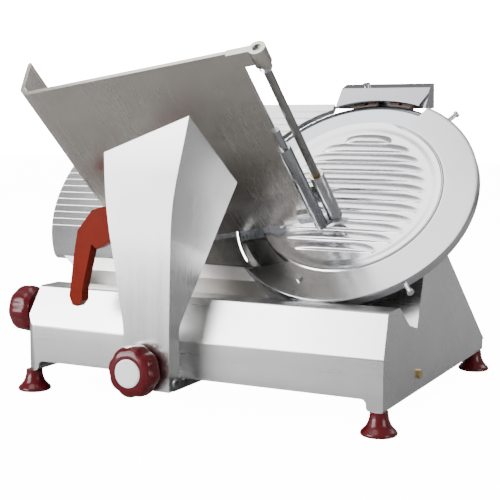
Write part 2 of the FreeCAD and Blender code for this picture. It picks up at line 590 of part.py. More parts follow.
# ---------------------------------------------------------------- blade head, fixed pieces
def blade_cover_ring():
    """Dished, ribbed blade cover in one piece with the guard ring round its lower right."""
    body = new_body("blade_cover_ring")
    ring = circle(sketch_on(body, "XY_Plane"), 0, 0, "RingRadius")
    circle(ring, 0, 0, "DishRim - 2")
    pad(body, ring, "CoverPlate", backwards=True)
    skirt = circle(sketch_on(body, "XY_Plane"), 0, 0, "RingRadius")
    circle(skirt, 0, 0, "RingInner")
    pad(body, skirt, "RingDepth", backwards=True)
    gap = outline(sketch_on(body, "XY_Plane"), [
        (0, 0), ("NotchX", "NotchU"), ("NotchFarX", "NotchFarU"), ("NotchFarX", "ClearSpan"),
        ("-ClearSpan", "ClearSpan"), ("-ClearSpan", "-SlotFarU"), ("-SlotFarX", "-SlotFarU"),
        ("-SlotX", "-SlotU"),
    ])
    pocket(body, gap, "RingDepth")
    ridge_side = outline(sketch_on(body, "YZ_Plane", at(z="-RingRadius")), [
        ("-RingRadius - 5", "-RingDepth - 1"), ("-TrimU", "-RingDepth - 1"), ("-TrimU", "-TrimW"),
        ("-RingRadius - 5", 1),
    ])
    pocket(body, ridge_side, "2 * RingRadius", backwards=True)
    dish = circle(sketch_on(body, "XY_Plane"), 0, 0, "DishRadius")
    pad(body, dish, "CoverPlate", backwards=True)
    floor = circle(sketch_on(body, "XY_Plane"), 0, 0, "DishRim")
    pocket(body, floor, "DishDepth")
    boss = circle(sketch_on(body, "XY_Plane", at(z="-CoverPlate + 0.5")), 0, 0, "CoverBoss")
    pad(body, boss, "CoverBossDepth - CoverPlate + 0.5", backwards=True)
    thread = circle(sketch_on(body, "XY_Plane", at(z="-CoverBossDepth")), 0, 0, "TieRadius + RunGap")
    pocket(body, thread, "CoverBossDepth - CoverPlate", backwards=True)
    pin = circle(sketch_on(body, "XY_Plane"), "PinX", "PinU", "PinRadius")
    pocket(body, pin, "CoverPlate")
    plane = next(f for f in body.Origin.OriginFeatures if f.Role == "XY_Plane")
    for number in range(12):
        rib = body.newObject("PartDesign::AdditiveEllipsoid", "rib")
        height = "(RibFirst - %d * RibPitch)" % number
        bind(rib, "Radius1", "RibHeight")
        bind(rib, "Radius2", "sqrt(RibCircle ^ 2 - %s ^ 2)" % height)
        bind(rib, "Radius3", "RibHalfWidth")
        doc.recompute()
        rib.AttachmentSupport = (plane, [""])
        rib.MapMode = "FlatFace"
        rib.AttachmentOffset = at(0, height, "-DishDepth")
        doc.recompute()
    return keep(body, "blade_cover_ring", head)


def ring_screws():
    pieces = [screw("PinHead", "PinHeadHeight", "PinRadius", "CoverPlate", head * at("PinX", "PinU"))]
    for angle in ("StudUpper", "StudLower"):
        outwards = head * at(axis=Z_AXIS, angle=size(angle)) * at("RingRadius", 0, "-StudDepth") * ALONG_X
        pieces.append(fuse(cylinder("StudRadius", "StudLength", outwards),
                           cylinder("StudRadius + 1.3", 3, outwards * at(z="StudLength"))))
    keep(group(*pieces), "ring_screws")


def bearing_parts():
    turned("bearing_housing", [
        ("BearingOuter", "-BearingFront"), ("HousingFlange", "-BearingFront"),
        ("HousingFlange", "-HousingBack"), ("BossRadius", "-HousingBack"),
        ("BossRadius", "-BossBack"), ("BearingOuter", "-BossBack"),
    ], head)
    bearings = []
    for number in range(2):
        back = head * at(z="-BearingFront - BearingWidth - %d * BearingPitch" % number)
        bearings.append(tube("BearingOuter", "BearingInner", "BearingWidth", back))
    keep(group(*bearings), "blade_bearings")


def motor_parts():
    centre = head * at(0, "-MotorU")
    turned("motor_body", [
        ("MotorShaft + RunGap", "-MotorFront"), ("MotorRadius - 4", "-MotorFront"),
        ("MotorRadius", "-MotorFront - 6"), ("MotorRadius", "-MotorBack + 6"),
        ("MotorRadius - 4", "-MotorBack"), ("MotorShaft + RunGap", "-MotorBack"),
        ("MotorShaft + RunGap", "-MotorBack + MotorWall"), ("StatorBore", "-MotorBack + MotorWall"),
        ("StatorBore", "-MotorFront - MotorWall"), ("MotorShaft + RunGap", "-MotorFront - MotorWall"),
    ], centre)
    body = new_body("motor_bracket")
    plate = sketch_on(body, "XY_Plane", at(z="-MotorFront"))
    rectangle(plate, "-BracketLeft", "-BracketBottom", "BracketRight", "-BracketTop")
    pad(body, plate, "BracketThick")
    hole = circle(sketch_on(body, "XY_Plane", at(z="-MotorFront")), 0, "-MotorU", "MotorShaft + 6")
    pocket(body, hole, "BracketThick", backwards=True)
    keep(body, "motor_bracket", head)
    turned("motor_rotor", [
        (0, "-MotorBack + 1"), ("MotorShaft", "-MotorBack + 1"), ("MotorShaft", "-MotorBack + MotorWall + 3"),
        ("RotorRadius", "-MotorBack + MotorWall + 3"), ("RotorRadius", "-MotorFront - MotorWall - 3"),
        ("MotorShaft", "-MotorFront - MotorWall - 3"), ("MotorShaft", "-MotorShaftFront"),
        (0, "-MotorShaftFront"),
    ], centre)
    turned("motor_pulley", pulley_profile("MotorShaft", "MotorPulleyRadius"), centre)


def pulley_profile(bore, radius):
    """A flat-belt pulley with a low flange at each side."""
    front, back = "-PulleyFront", "-PulleyFront - PulleyWidth"
    return [
        (bore, front), (radius + " + 1.6", front), (radius + " + 1.6", front + " - 1.4"),
        (radius, front + " - 1.4"), (radius, back + " + 1.4"), (radius + " + 1.6", back + " + 1.4"),
        (radius + " + 1.6", back), (bore, back),
    ]


def belt_outline(extra):
    """The closed line round both pulleys, held off them by extra."""
    top_radius = size("PulleyRadius") + extra
    low_radius = size("MotorPulleyRadius") + extra
    spacing = size("MotorU")
    lean = math.asin((top_radius - low_radius) / spacing)
    top, low = V(0, 0, 0), V(0, -spacing, 0)

    def rim(centre, radius, angle):
        return centre + V(radius * math.cos(angle), radius * math.sin(angle), 0)

    right, left = -lean, math.pi + lean
    arcs = [
        Part.Arc(rim(top, top_radius, right), rim(top, top_radius, math.pi / 2), rim(top, top_radius, left)),
        Part.Arc(rim(low, low_radius, left), rim(low, low_radius, -math.pi / 2), rim(low, low_radius, right)),
    ]
    edges = [
        arcs[0].toShape(),
        Part.makeLine(rim(top, top_radius, left), rim(low, low_radius, left)),
        arcs[1].toShape(),
        Part.makeLine(rim(low, low_radius, right), rim(top, top_radius, right)),
    ]
    return Part.Face(Part.Wire(edges))


def drive_belt():
    inner = belt_outline(size("BeltGap"))
    outer = belt_outline(size("BeltGap + BeltThick"))
    belt = doc.addObject("Part::Feature", "drive_belt")
    belt.Shape = outer.cut(inner).extrude(V(0, 0, -size("BeltWidth")))
    keep(belt, "drive_belt", head * at(z="-BeltFront"))


def slice_deflector():
    base = head * at(z="-DeflectorBack", axis=Z_AXIS, angle=size("DeflectorStart"))
    sector = cylinder("DeflectorOuter", "DeflectorThick", base, "DeflectorSweep")
    keep(cut(sector, cylinder("DrumRadius", "DeflectorThick", base)), "slice_deflector")


# ---------------------------------------------------------------- blade and drive, turning
def blade_parts():
    turned("blade", [
        ("BladeBore", "-SpigotFace"), ("HubRadius + 20", "-SpigotFace"),
        ("DrumRadius", "-BladeFace"), ("BevelRadius", "-BladeFace"), ("BladeRadius", "-BladeFace - 2"),
        ("BladeRadius", "-BladeFace - 2.4"), ("BevelRadius", "-BladeFace - 3.5"),
        ("DrumRadius", "-BladeFace - 5"), ("HubRadius + 20", "-HubFace"), ("BladeBore", "-HubFace"),
    ], head)
    turned("blade_hub", [
        ("SpindleBore", "-SpigotFace"), ("SpigotRadius", "-SpigotFace"), ("SpigotRadius", "-HubFace"),
        ("HubRadius", "-HubFace"), ("HubRadius", "-HubBack"), ("SpindleRadius", "-HubBack"),
        ("SpindleRadius", "-SpindleBack"), ("SpindleBore", "-SpindleBack"),
    ], head)
    turned("blade_pulley", pulley_profile("SpindleRadius", "PulleyRadius"), head)
    screws = []
    for number in range(3):
        spoke = head * at(axis=Z_AXIS, angle=120 * number) * at(30, 0, "-SpigotFace")
        screws.append(cylinder("ScrewHead", 1.8, spoke))
    keep(group(*screws), "blade_screws")


def tie_rod():
    turned("tie_rod", [
        (0, "-TieFront"), ("TieRadius", "-TieFront"), ("TieRadius", "-TieBack"),
        ("TieKnobRadius - 4", "-TieBack"), ("TieKnobRadius", "-TieBack - 4"),
        ("TieKnobRadius", "-TieBack - TieKnobLength + 5"), ("TieKnobRadius - 4", "-TieBack - TieKnobLength"),
        (0, "-TieBack - TieKnobLength"),
    ], head)


# ---------------------------------------------------------------- gauge plate and index
def gauge_apron():
    body = new_body("gauge_apron")
    profile = outline(sketch_on(body, "YZ_Plane", at(z="-ApronLeft")), [
        ("-ApronBottom", "-ApronBack"), ("-ApronBottom", "-ApronFoot"), ("-ApronMid", 0),
        ("-ApronTop", "-ApronLip"), ("-ApronTop", "-ApronBack"),
    ])
    pad(body, profile, "ApronLeft - ApronRight")
    left_tip = outline(sketch_on(body, "XY_Plane", at(z=1)), [
        ("-ApronLeft - 1", "-ApronTop"), ("-ApronLeft", "-ApronTop"),
        ("-ApronFootLeft", "-ApronBottom"), ("-ApronLeft - 1", "-ApronBottom"),
    ])
    pocket(body, left_tip, "ApronBack + 1")
    rim = circle(sketch_on(body, "XY_Plane", at(z=1)), 0, 0, "ApronArc")
    pocket(body, rim, "ApronBack + 1")
    keep(body, "gauge_apron", head)


def gauge_plate():
    low_left = head * at("-GaugeLeft", "-GaugeBottom", "-GaugeThick")
    blank = box("GaugeLeft - GaugeRight", "GaugeTop + GaugeBottom", "GaugeThick", low_left)
    left_end = cylinder("GaugeArc", "GaugeThick", head * at("-GaugeArcX", "GaugeArcU", "-GaugeThick"))
    right_half = box("GaugeArcX", "2 * GaugeArc", "GaugeThick",
                     head * at("-GaugeArcX", "-GaugeArc", "-GaugeThick"))
    plate = common(blank, fuse(left_end, right_half))
    plate = cut(plate, cylinder("GaugeRimRadius", "GaugeThick + 2", head * at(z="-GaugeThick - 1")))
    grooves = []
    for number in range(19):
        place = head * at("-GaugeLeft - 1", "GrooveFirst + %d * GroovePitch" % number, "-GrooveDepth")
        grooves.append(box("GaugeLeft", "GrooveWidth", "GrooveDepth + 1", place))
    keep(cut(plate, group(*grooves)), "gauge_plate")


def gauge_support():
    """Web behind the gauge plate, its guide boss, and the pin that rides in the scroll."""
    body = new_body("gauge_support")
    web = outline(sketch_on(body, "YZ_Plane", at(z="-SupportX")), [
        ("-SupportTop", "-GaugeThick"), ("-SupportShoulder", "-GaugeThick"),
        ("-SupportShoulder - 8", "-SupportFace"), ("-SupportEnd", "-SupportFace"),
        ("-SupportEnd", "-SupportEndBack"), ("-SupportMid", "-SupportMidBack"),
        ("-SupportNeck", "-SupportNeckBack"), ("-SupportTop", "-SupportTopBack"),
    ])
    pad(body, web, "SupportThick")
    stiffener = sketch_on(body, "XY_Plane", at(z="-GaugeThick"))
    rectangle(stiffener, "-SupportX", "-StiffenerBottom", "-SupportX + StiffenerLength",
              "-StiffenerBottom + StiffenerWidth")
    pad(body, stiffener, "StiffenerDepth", backwards=True)
    boss = sketch_on(body, "XY_Plane", at(z="-GuideBossFront"))
    pad(body, circle(boss, "-GuideBarX", "-GuideBarU", "GuideBossRadius"), "GuideBossLength", backwards=True)
    bore = sketch_on(body, "XY_Plane", at(z="-GuideBossFront"))
    pocket(body, circle(bore, "-GuideBarX", "-GuideBarU", "GuideBarRadius + RunGap"), "GuideBossLength")
    follower = sketch_on(body, "YZ_Plane", at(z="-SupportX"))
    circle(follower, INDEX_U, "%s - ScrollStart" % INDEX_W, "FollowerRadius")
    pad(body, follower, "HeadX - SupportX - ScrollFace - ScrollThick + ScrollGroove - 0.5", backwards=True)
    keep(body, "gauge_support", head)
    bar_back = head * at("-GuideBarX", "-GuideBarU", "GuideBarFront - GuideBarLength")
    keep(cylinder("GuideBarRadius", "GuideBarLength", bar_back), "gauge_guide_bar")


INDEX_U = "((IndexY - HeadY) * sin(Incline) + (IndexZ - HeadZ) * cos(Incline))"
INDEX_W = "((IndexZ - HeadZ) * sin(Incline) - (IndexY - HeadY) * cos(Incline))"


def scroll_edge(offset, before, after):
    """One side of the scroll groove: the spiral moved sideways, and run on past both ends."""
    rise = size("GaugeTravel") / math.radians(size("ScrollTurn"))
    points = []
    steps = 60
    for number in range(steps + 1):
        turn = math.radians(-before + (size("ScrollTurn") + before + after) * number / steps)
        radius = size("ScrollStart") + rise * turn
        # the knob turns the disc by +turn about +X, so the groove is wound by -turn
        spoke = V(math.cos(turn), -math.sin(turn), 0)
        along = V(rise * math.cos(turn) - radius * math.sin(turn),
                  -rise * math.sin(turn) - radius * math.cos(turn), 0)
        along.normalize()
        points.append(spoke * radius + V(-along.y, along.x, 0) * offset)
    return points


def index_parts():
    centre = machine * at(0, "IndexY", "IndexZ")
    towards_left = at(axis=Y_AXIS, angle=-90)
    knob("index_knob", "KnobRadius", "IndexKnobLength", centre * at("-IndexKnobGap") * towards_left)
    turned("index_shaft", [
        (0, 0), ("IndexRadius", 0), ("IndexRadius", "ScrollFace + IndexKnobGap"),
        (0, "ScrollFace + IndexKnobGap"),
    ], centre * at("-IndexKnobGap") * ALONG_X)
    half = size("FollowerRadius + FollowerGap")
    outer = Part.BSplineCurve()
    inner = Part.BSplineCurve()
    outer_points = scroll_edge(half, 24, 9)
    inner_points = scroll_edge(-half, 24, 9)
    outer.interpolate(outer_points)
    inner.interpolate(inner_points)
    ends = [Part.makeLine(outer_points[0], inner_points[0]), Part.makeLine(outer_points[-1], inner_points[-1])]
    groove = Part.Face(Part.Wire(Part.__sortEdges__([outer.toShape(), inner.toShape()] + ends)))
    groove.translate(V(0, 0, size("ScrollThick - ScrollGroove")))
    disc = Part.makeCylinder(size("ScrollRadius"), size("ScrollThick"))
    scroll = doc.addObject("Part::Feature", "index_scroll")
    scroll.Shape = disc.cut(groove.extrude(V(0, 0, size("ScrollGroove") + 1)))
    # the disc's own x axis points down the gauge's slide, where the follower starts
    down_slide = V(0, math.cos(math.radians(size("Incline"))), -math.sin(math.radians(size("Incline"))))
    across = X_AXIS.cross(down_slide)
    turn = FreeCAD.Rotation(down_slide, across, X_AXIS, "ZXY")
    keep(scroll, "index_scroll", centre * FreeCAD.Placement(V(size("ScrollFace"), 0, 0), turn))


# ---------------------------------------------------------------- sharpener
def sharpener_parts():
    body = new_body("sharpener_housing")
    cosine, sine = "cos(Incline)", "sin(Incline)"

    def corner(up, back):
        """A point of the blade plane, up along it and back from it, in the machine frame."""
        return ("HeadY + (%s) * %s + (%s) * %s" % (up, sine, back, cosine),
                "HeadZ + (%s) * %s - (%s) * %s" % (up, cosine, back, sine))

    left = "HeadX - SharpenerLeft"
    shell = outline(sketch_on(body, "YZ_Plane", at(z=left)), [
        corner("SharpenerLow", 0), corner("SharpenerTop", 0), corner("RoofUp", "RoofBack"),
        corner("SharpenerTail", "TailBack"),
    ])
    pad(body, shell, "SharpenerLeft + SharpenerRight")
    hollow = outline(sketch_on(body, "YZ_Plane", at(z=left + " + SharpenerWall")), [
        corner("SharpenerLow - 8", "SharpenerWall"), corner("SharpenerTop - 0.8", "SharpenerWall"),
        corner("RoofUp - 5", "RoofBack + 0.6"), corner("SharpenerTail - 19.4", "TailBack + 14.6"),
    ])
    pocket(body, hollow, "SharpenerLeft + SharpenerRight - 2 * SharpenerWall", backwards=True)
    arc = sketch_on(body, "XY_Plane", head_in_machine * at(z=5))
    pocket(body, circle(arc, 0, 0, "SharpenerArc"), "DrumBack + 60")
    window = sketch_on(body, "XY_Plane", head_in_machine * at(z=1))
    outline(window, [
        ("SharpenerCutX", "SharpenerLow - 2"), ("SharpenerCutTop", "SharpenerTop - 4"),
        ("SharpenerCutTop", "SharpenerLow - 2"),
    ])
    pocket(body, window, "SharpenerWall + 1")
    slope = math.degrees(math.atan2(size("RoofUp - SharpenerTop"), size("RoofBack")))
    roof = head_in_machine * at("SharpenerScrewX", "(RoofUp + SharpenerTop) / 2", "-RoofBack / 2")
    roof = roof * at(axis=X_AXIS, angle=slope - 90)
    hole = circle(sketch_on(body, "XY_Plane", roof), 0, 0, "SharpenerScrewShank")
    pocket(body, hole, "SharpenerWall + 1")
    keep(body, "sharpener_housing", machine)
    keep(screw("SharpenerScrewHead", 3.5, "SharpenerScrewShank", "SharpenerWall + 3", machine * roof),
         "sharpener_screw")

    post = new_body("sharpener_bracket")
    plate = sketch_on(post, "XY_Plane", at(z="-PostFront"))
    rectangle(plate, "-PostHalf", "PostLow", "PostHalf", "PostTop")
    pad(post, plate, "PostThick", backwards=True)
    pocket(post, circle(sketch_on(post, "XY_Plane", at(z="-PostFront")), 0, 0, "DrumRadius"), "PostThick")
    guides = sketch_on(post, "XY_Plane", at(z="-PostFront"))
    for side in ("-StoneX", "StoneX"):
        circle(guides, side, "StoneU", "PinionRadius + RunGap")
    pocket(post, guides, "PostThick")
    keep(post, "sharpener_bracket", head)

    for name, side in (("grinding", "-StoneX"), ("honing", "StoneX")):
        centre = head * at(side, "StoneU")
        stone_back = centre * at(z="-StoneFront - StoneThick")
        keep(tube("StoneRadius", "PinionRadius + RunGap", "StoneThick", stone_back), name + "_stone")
        collar_face = "-StoneFront - StoneThick - CollarGap"
        turned(name + "_button", [
            (0, "-StoneSpindleFront"), ("PinionRadius", "-StoneSpindleFront"), ("PinionRadius", collar_face),
            ("CollarRadius", collar_face), ("CollarRadius", collar_face + " - CollarThick"),
            ("PinionRadius", collar_face + " - CollarThick"), ("PinionRadius", "-StoneSpindleBack"),
            ("CapRadius", "-StoneSpindleBack"), ("CapRadius", "-StoneSpindleBack - CapThick + 2"),
            ("CapRadius - 2", "-StoneSpindleBack - CapThick"), (0, "-StoneSpindleBack - CapThick"),
        ], centre)


# ---------------------------------------------------------------- carriage
def carriage_foot():
    """Slider block on the rods, tongue under the base and forked lug inside the arm."""
    body = new_body("carriage_foot")
    side = sketch_on(body, "YZ_Plane", at(z="CarriageX - FootHalf"))
    outline(side, [
        ("LugFront", "LugTop"), ("LugBack", "LugTop"), ("LugBack", "PivotZ + 5"), (-20, "TongueTop"),
        (40, "TongueTop"), (40, "BlockLow + 1"), ("TongueBack", "BlockLow + 1"), ("TongueBack", "TongueLow"),
        (-22, "TongueLow"), (-36, "TongueLow + 5"), ("LugFront + 1", "PivotZ - 4"),
        ("LugFront", "PivotZ + 8"),
    ])
    pad(body, side, "2 * FootHalf")
    block = sketch_on(body, "YZ_Plane", at(z="CarriageX - BlockHalf"))
    outline(block, [
        ("BlockFront", "BlockLow"), ("BlockBack", "BlockLow"), ("BlockBack", "BlockCorner"),
        ("SupportY + 4", "BlockMid"), ("GuideY + 18", "BlockMid"), ("GuideY + 14", "BlockHigh"),
        ("BlockFront", "BlockHigh"),
    ])
    pad(body, block, "2 * BlockHalf")
    bores = sketch_on(body, "YZ_Plane", at(z="CarriageX - BlockHalf"))
    circle(bores, "GuideY", "RodHeight", "GuideBush")
    circle(bores, "SupportY", "RodHeight", "SupportBush")
    pocket(body, bores, "2 * BlockHalf", backwards=True)
    pivot = sketch_on(body, "YZ_Plane", at(z="CarriageX - FootHalf"))
    pocket(body, circle(pivot, "PivotY", "PivotZ", "PivotRadius + RunGap"), "2 * FootHalf", backwards=True)
    fork = sketch_on(body, "XZ_Plane", at(z="-LugFront + 1"))
    rectangle(fork, "StudX - LockSlotHalf", "StudZ - LockSlotDrop", "StudX + LockSlotHalf", "LugTop + 1")
    pocket(body, fork, "LugBack - LugFront + 2")
    keep(body, "carriage_foot", machine)
    bushes = []
    for start in ("CarriageX - BlockHalf", "CarriageX + BlockHalf - BushLength"):
        for y, outer, rod in (("GuideY", "GuideBush", "GuideRadius"),
                              ("SupportY", "SupportBush", "SupportRadius")):
            place = machine * at(start, y, "RodHeight") * ALONG_X
            bushes.append(tube(outer, rod + " + RunGap", "BushLength", place))
    keep(group(*bushes), "carriage_bushes")


def arm_section(body, where, inset):
    """One four-cornered section of the arm: front left, front right, back right, back left."""
    if where == "bend":
        sketch = sketch_on(body, "XY_Plane", at(z="ArmBend"))
        corners = [("ArmLeft", "ArmFront"), ("ArmRight", "ArmFront"), ("ArmRight", "ArmBack"),
                   ("ArmLeft", "ArmBack")]
    elif where == "waist":
        lift = at(0, "ArmFront", "WaistHeight", X_AXIS, -size("WaistSlope"))
        sketch = sketch_on(body, "XY_Plane", lift)
        corners = [("WaistLeft", 0), ("WaistRight", 0), ("WaistBackRight", "WaistDepth"),
                   ("WaistBackLeft", "WaistDepth")]
    else:
        drop = at(z="-SeatThick") if inset else at()
        sketch = sketch_on(body, "XY_Plane", head_in_machine * tray_in_head * drop)
        corners = [("SeatFrontLeftX", "SeatFrontLeftY"), ("SeatFrontRightX", "SeatFrontRightY"),
                   ("SeatBackRightX", "SeatBackRightY"), ("SeatBackLeftX", "SeatBackLeftY")]
    if inset:
        # the seat slopes away from the steep front wall, so its front edge is set further in
        front = "SeatInset" if where == "seat" else "ArmWall"
        steps = [("ArmWall", front), ("-ArmWall", front), ("-ArmWall", "-ArmWall"), ("ArmWall", "-ArmWall")]
        corners = [("%s + (%s)" % (x, dx), "%s + (%s)" % (y, dy))
                   for (x, y), (dx, dy) in zip(corners, steps)]
    return outline(sketch, corners)


def carriage_arm():
    body = new_body("carriage_arm")
    post = sketch_on(body, "XY_Plane", at(z="ArmLow"))
    pad(body, rectangle(post, "ArmLeft", "ArmFront", "ArmRight", "ArmBack"), "ArmBend - ArmLow")
    loft(body, "AdditiveLoft", arm_section(body, "bend", False), arm_section(body, "waist", False))
    loft(body, "AdditiveLoft", arm_section(body, "waist", False), arm_section(body, "seat", False))
    loft(body, "SubtractiveLoft", arm_section(body, "waist", True), arm_section(body, "seat", True))
    loft(body, "SubtractiveLoft", arm_section(body, "bend", True), arm_section(body, "waist", True))
    core = sketch_on(body, "XY_Plane", at(z="ArmLow"))
    rectangle(core, "ArmLeft + ArmWall", "ArmFront + ArmWall", "ArmRight - ArmWall", "ArmBack - ArmWall")
    pocket(body, core, "ArmBend - ArmLow", backwards=True)
    window = sketch_on(body, "XZ_Plane", at(z="-ArmBack"))
    rectangle(window, "ArmLeft + ArmWall", "ArmLow", "ArmRight - ArmWall", "WindowTop")
    pocket(body, window, "ArmWall + 0.5", backwards=True)
    stud = circle(sketch_on(body, "XZ_Plane", at(z="-ArmFront")), "StudX", "StudZ", "LockRadius + RunGap")
    pocket(body, stud, "ArmWall")
    pin = circle(sketch_on(body, "YZ_Plane", at(z="ArmLeft")), "PivotY", "PivotZ", "PivotRadius")
    pocket(body, pin, "ArmRight - ArmLeft", backwards=True)
    holes = sketch_on(body, "XY_Plane", head_in_machine * tray_in_head)
    for x, y in TABLE_SCREWS:
        circle(holes, x, y, "ScrewRadius")
    pocket(body, holes, "SeatThick")
    keep(body, "carriage_arm", machine)
    keep(cylinder("PivotRadius", "ArmRight - ArmLeft", machine * at("ArmLeft", "PivotY", "PivotZ") * ALONG_X),
         "arm_pivot_pin")
    return body


TABLE_SCREWS = [(80, 135), (160, 115), (80, 190), (165, 180)]


def product_table():
    body = new_body("product_table")
    plate = sketch_on(body, "XY_Plane")
    pad(body, rectangle(plate, 0, 0, "TrayLength", "TrayDepth"), "TrayThick")
    flange = sketch_on(body, "XY_Plane")
    pad(body, rectangle(flange, 0, 0, "TrayThick", "TrayDepth"), "FlangeHeight")
    rounded(body, "TrayBend", lambda p: near(p.x, 0) and near(p.z, 0))
    rounded(body, "TrayBend - TrayThick", lambda p: near(p.x, "TrayThick") and near(p.z, "TrayThick"))
    rounded(body, "TrayThick / 2 - 0.1", lambda p: near(p.z, "FlangeHeight") and (
        near(p.x, 0) or near(p.x, "TrayThick")))
    ear = sketch_on(body, "XY_Plane", at(z="EarLow"))
    pad(body, rectangle(ear, "EarStart", 0, "RodT", "EarDepth"), "EarHigh - EarLow")
    boss = circle(sketch_on(body, "XZ_Plane"), "RodT", "RodN", "EarBoss")
    pad(body, boss, "EarDepth + 2", backwards=True)
    bore = circle(sketch_on(body, "XZ_Plane"), "RodT", "RodN", "PushRod")
    pocket(body, bore, "EarDepth + 2")
    holes = sketch_on(body, "XY_Plane")
    for x, y in TABLE_SCREWS:
        circle(holes, x, y, "ScrewRadius")
    pocket(body, holes, "ScrewDepth", backwards=True)
    keep(body, "product_table", tray)
    screws = []
    for x, y in TABLE_SCREWS:
        below = tray * at(x, y, "-SeatThick", X_AXIS, 180)
        screws.append(screw("ScrewHead", "ScrewHeadHeight", "ScrewRadius", "SeatThick + ScrewDepth", below))
    keep(group(*screws), "table_screws")


def carriage_handle(arm):
    """Cranked flat grip, its end shaped to the arm's left side."""
    body = new_body("handle_blank")
    side = outline(sketch_on(body, "XZ_Plane"), [
        (162, 246), (150, 244), (136, 240), (115, 215), (109, 184), (101.6, 135), (105.7, 125),
        (113.5, 123.7), (120, 131), (120.5, 144), (134.9, 199), (141.8, 194), (153.7, 199.7), (167, 206),
    ])
    pad(body, side, "HandleThick", backwards=True)
    body.Placement = machine * at(0, "HandleY", 0)
    keep(cut(body, arm), "carriage_handle")


def pusher_rod_parts():
    axis = tray * at("RodT", 0, "RodN") * DOWN_TRAY
    keep(cylinder("PushRod", "PushRodEnd - PushRodStart", axis * at(z="PushRodStart")), "pusher_rod")
    turned("rod_bumper", [
        ("PushRod", "EarDepth + 2"), ("BumperRadius", "EarDepth + 3"), ("BumperRadius - 1.6", "EarDepth + 4.5"),
        ("BumperRadius", "EarDepth + 6"), ("BumperRadius - 1.6", "EarDepth + 7.5"),
        ("BumperRadius", "EarDepth + 9"), ("BumperRadius - 1.6", "BumperEnd"), ("PushRod", "BumperEnd"),
    ], axis)
    edge = tray * at("EdgeTubeT", 0, "EdgeTubeN") * DOWN_TRAY
    plate = tray * at(0, "BracketFoot - BracketPlate", 0)
    lean = math.degrees(math.atan2(size("RodN - EdgeTubeN"), size("RodT - EdgeTubeT")))
    reach = math.hypot(size("RodT - EdgeTubeT"), size("RodN - EdgeTubeN"))
    link = box(reach, "2 * RodBoss - 4", "BracketPlate",
               edge * at(z="BracketFoot - BracketPlate", axis=Z_AXIS, angle=-lean) * at(0, "-RodBoss + 2", 0))
    bracket = fuse(
        cylinder("EdgeTube", "BracketFoot - EdgeTubeStart", edge * at(z="EdgeTubeStart")),
        cylinder("EdgeTip", "EdgeTubeStart - EdgeTipStart + 1", edge * at(z="EdgeTipStart")),
        link,
        cylinder("RodBoss", "BracketPlate", axis * at(z="BracketFoot - BracketPlate")),
        box("EdgeTubeT - BracketTab", "BracketPlate + 14", 4,
            plate * at("BracketTab", -14, -4)),
    )
    bracket = cut(bracket, cylinder("PushRod", 60, axis * at(z="BracketFoot - 50")))
    keep(bracket, "rod_end_bracket")
    nut = tube("NutRadius", "PushRod", "NutLength", axis * at(z="BracketFoot"))
    ear_screw = cylinder("ScrewRadius + 1.5", 2, tray * at("RodT - 16", "EarDepth / 2", "EarHigh"))
    keep(group(nut, ear_screw), "rod_fasteners")


def pusher_parts():
    axis = tray * at("RodT", 0, "RodN") * DOWN_TRAY
    bushes = []
    for start in ("SleeveStart", "SleeveEnd - PushBushLength"):
        bushes.append(tube("PushBushOuter", "PushRod + RunGap", "PushBushLength", axis * at(z=start)))
    keep(group(*bushes), "pusher_bushes")

    barrel = new_body("sleeve_barrel")
    revolve(barrel, [
        ("PushBushOuter + RunGap", "SleeveStart"), ("SleeveRadius", "SleeveStart"),
        ("SleeveRadius", "SleeveEnd"), ("PushBushOuter + RunGap", "SleeveEnd"),
        ("PushBushOuter + RunGap", "SleeveEnd - PushBushLength - 0.2"),
        ("SleeveWaist", "SleeveEnd - PushBushLength - 0.2"),
        ("SleeveWaist", "SleeveStart + PushBushLength + 0.2"),
        ("PushBushOuter + RunGap", "SleeveStart + PushBushLength + 0.2"),
    ])
    barrel.Placement = axis
    bridge = box("RodT - BridgeLeft", "BridgeEnd - BridgeStart", "BridgeHigh - BridgeLow",
                 tray * at("BridgeLeft", "BridgeStart", "BridgeLow"))
    keep(fuse(barrel, bridge), "pusher_sleeve")
    pin = tray * at("RodT + SleeveRadius", "SleevePinF", "RodN") * ALONG_X
    keep(cylinder("SleevePin", "SleevePinLength", pin), "sleeve_pin")

    body = new_body("pusher_plate")
    front = at(z="-PusherFace")
    face = sketch_on(body, "XZ_Plane", front)
    rectangle(face, "PusherLeft", "BridgeHigh", "PusherRight", "PusherHigh")
    pad(body, face, "PusherThick")
    foot = sketch_on(body, "XY_Plane", at(z="BridgeHigh"))
    rectangle(foot, "PusherRight - 50", "BridgeStart", "PusherRight", "PusherFace")
    pad(body, foot, "PusherThick")
    keep(body, "pusher_plate", tray)
    teeth = []
    columns = int(size("(PusherRight - PusherLeft) / ToothPitch")) - 1
    for column in range(columns):
        for line in range(4):
            place = tray * at("PusherLeft + %f * ToothPitch" % (column + 1), "PusherFace",
                              "BridgeHigh + %f * ToothPitch" % (line + 1)) * DOWN_TRAY
            cone = doc.addObject("Part::Cone", "tooth")
            bind(cone, "Radius1", "ToothRadius")
            cone.Radius2 = 0.4
            bind(cone, "Height", "ToothHeight")
            cone.Placement = place
            teeth.append(cone)
    keep(group(*teeth), "pusher_teeth")
    turned("pusher_knob", [
        (0, 0), (6, 0), (6, 12), (13, 18), (17, 27), (15, 35), (8, 39), (0, 40),
    ], tray * at("GripT", "PusherFace - PusherThick", "GripN") * TOWARDS_FRONT)


def lock_knob_parts():
    axis = machine * at("StudX", 0, "StudZ") * TOWARDS_FRONT
    knob("lock_knob", "LockKnobRadius", "LockKnobLength", axis * at(z="LockKnobBack"))
    keep(cylinder("LockRadius", "LockKnobBack - 33", axis * at(z=33)), "lock_stud")
    turned("lock_knob_cap", [(0, 0), ("CapDisc", 0), ("CapDisc", 1), ("CapDisc - 2", 1.8), (0, 2)],
           axis * at(z="LockKnobBack + LockKnobLength"))


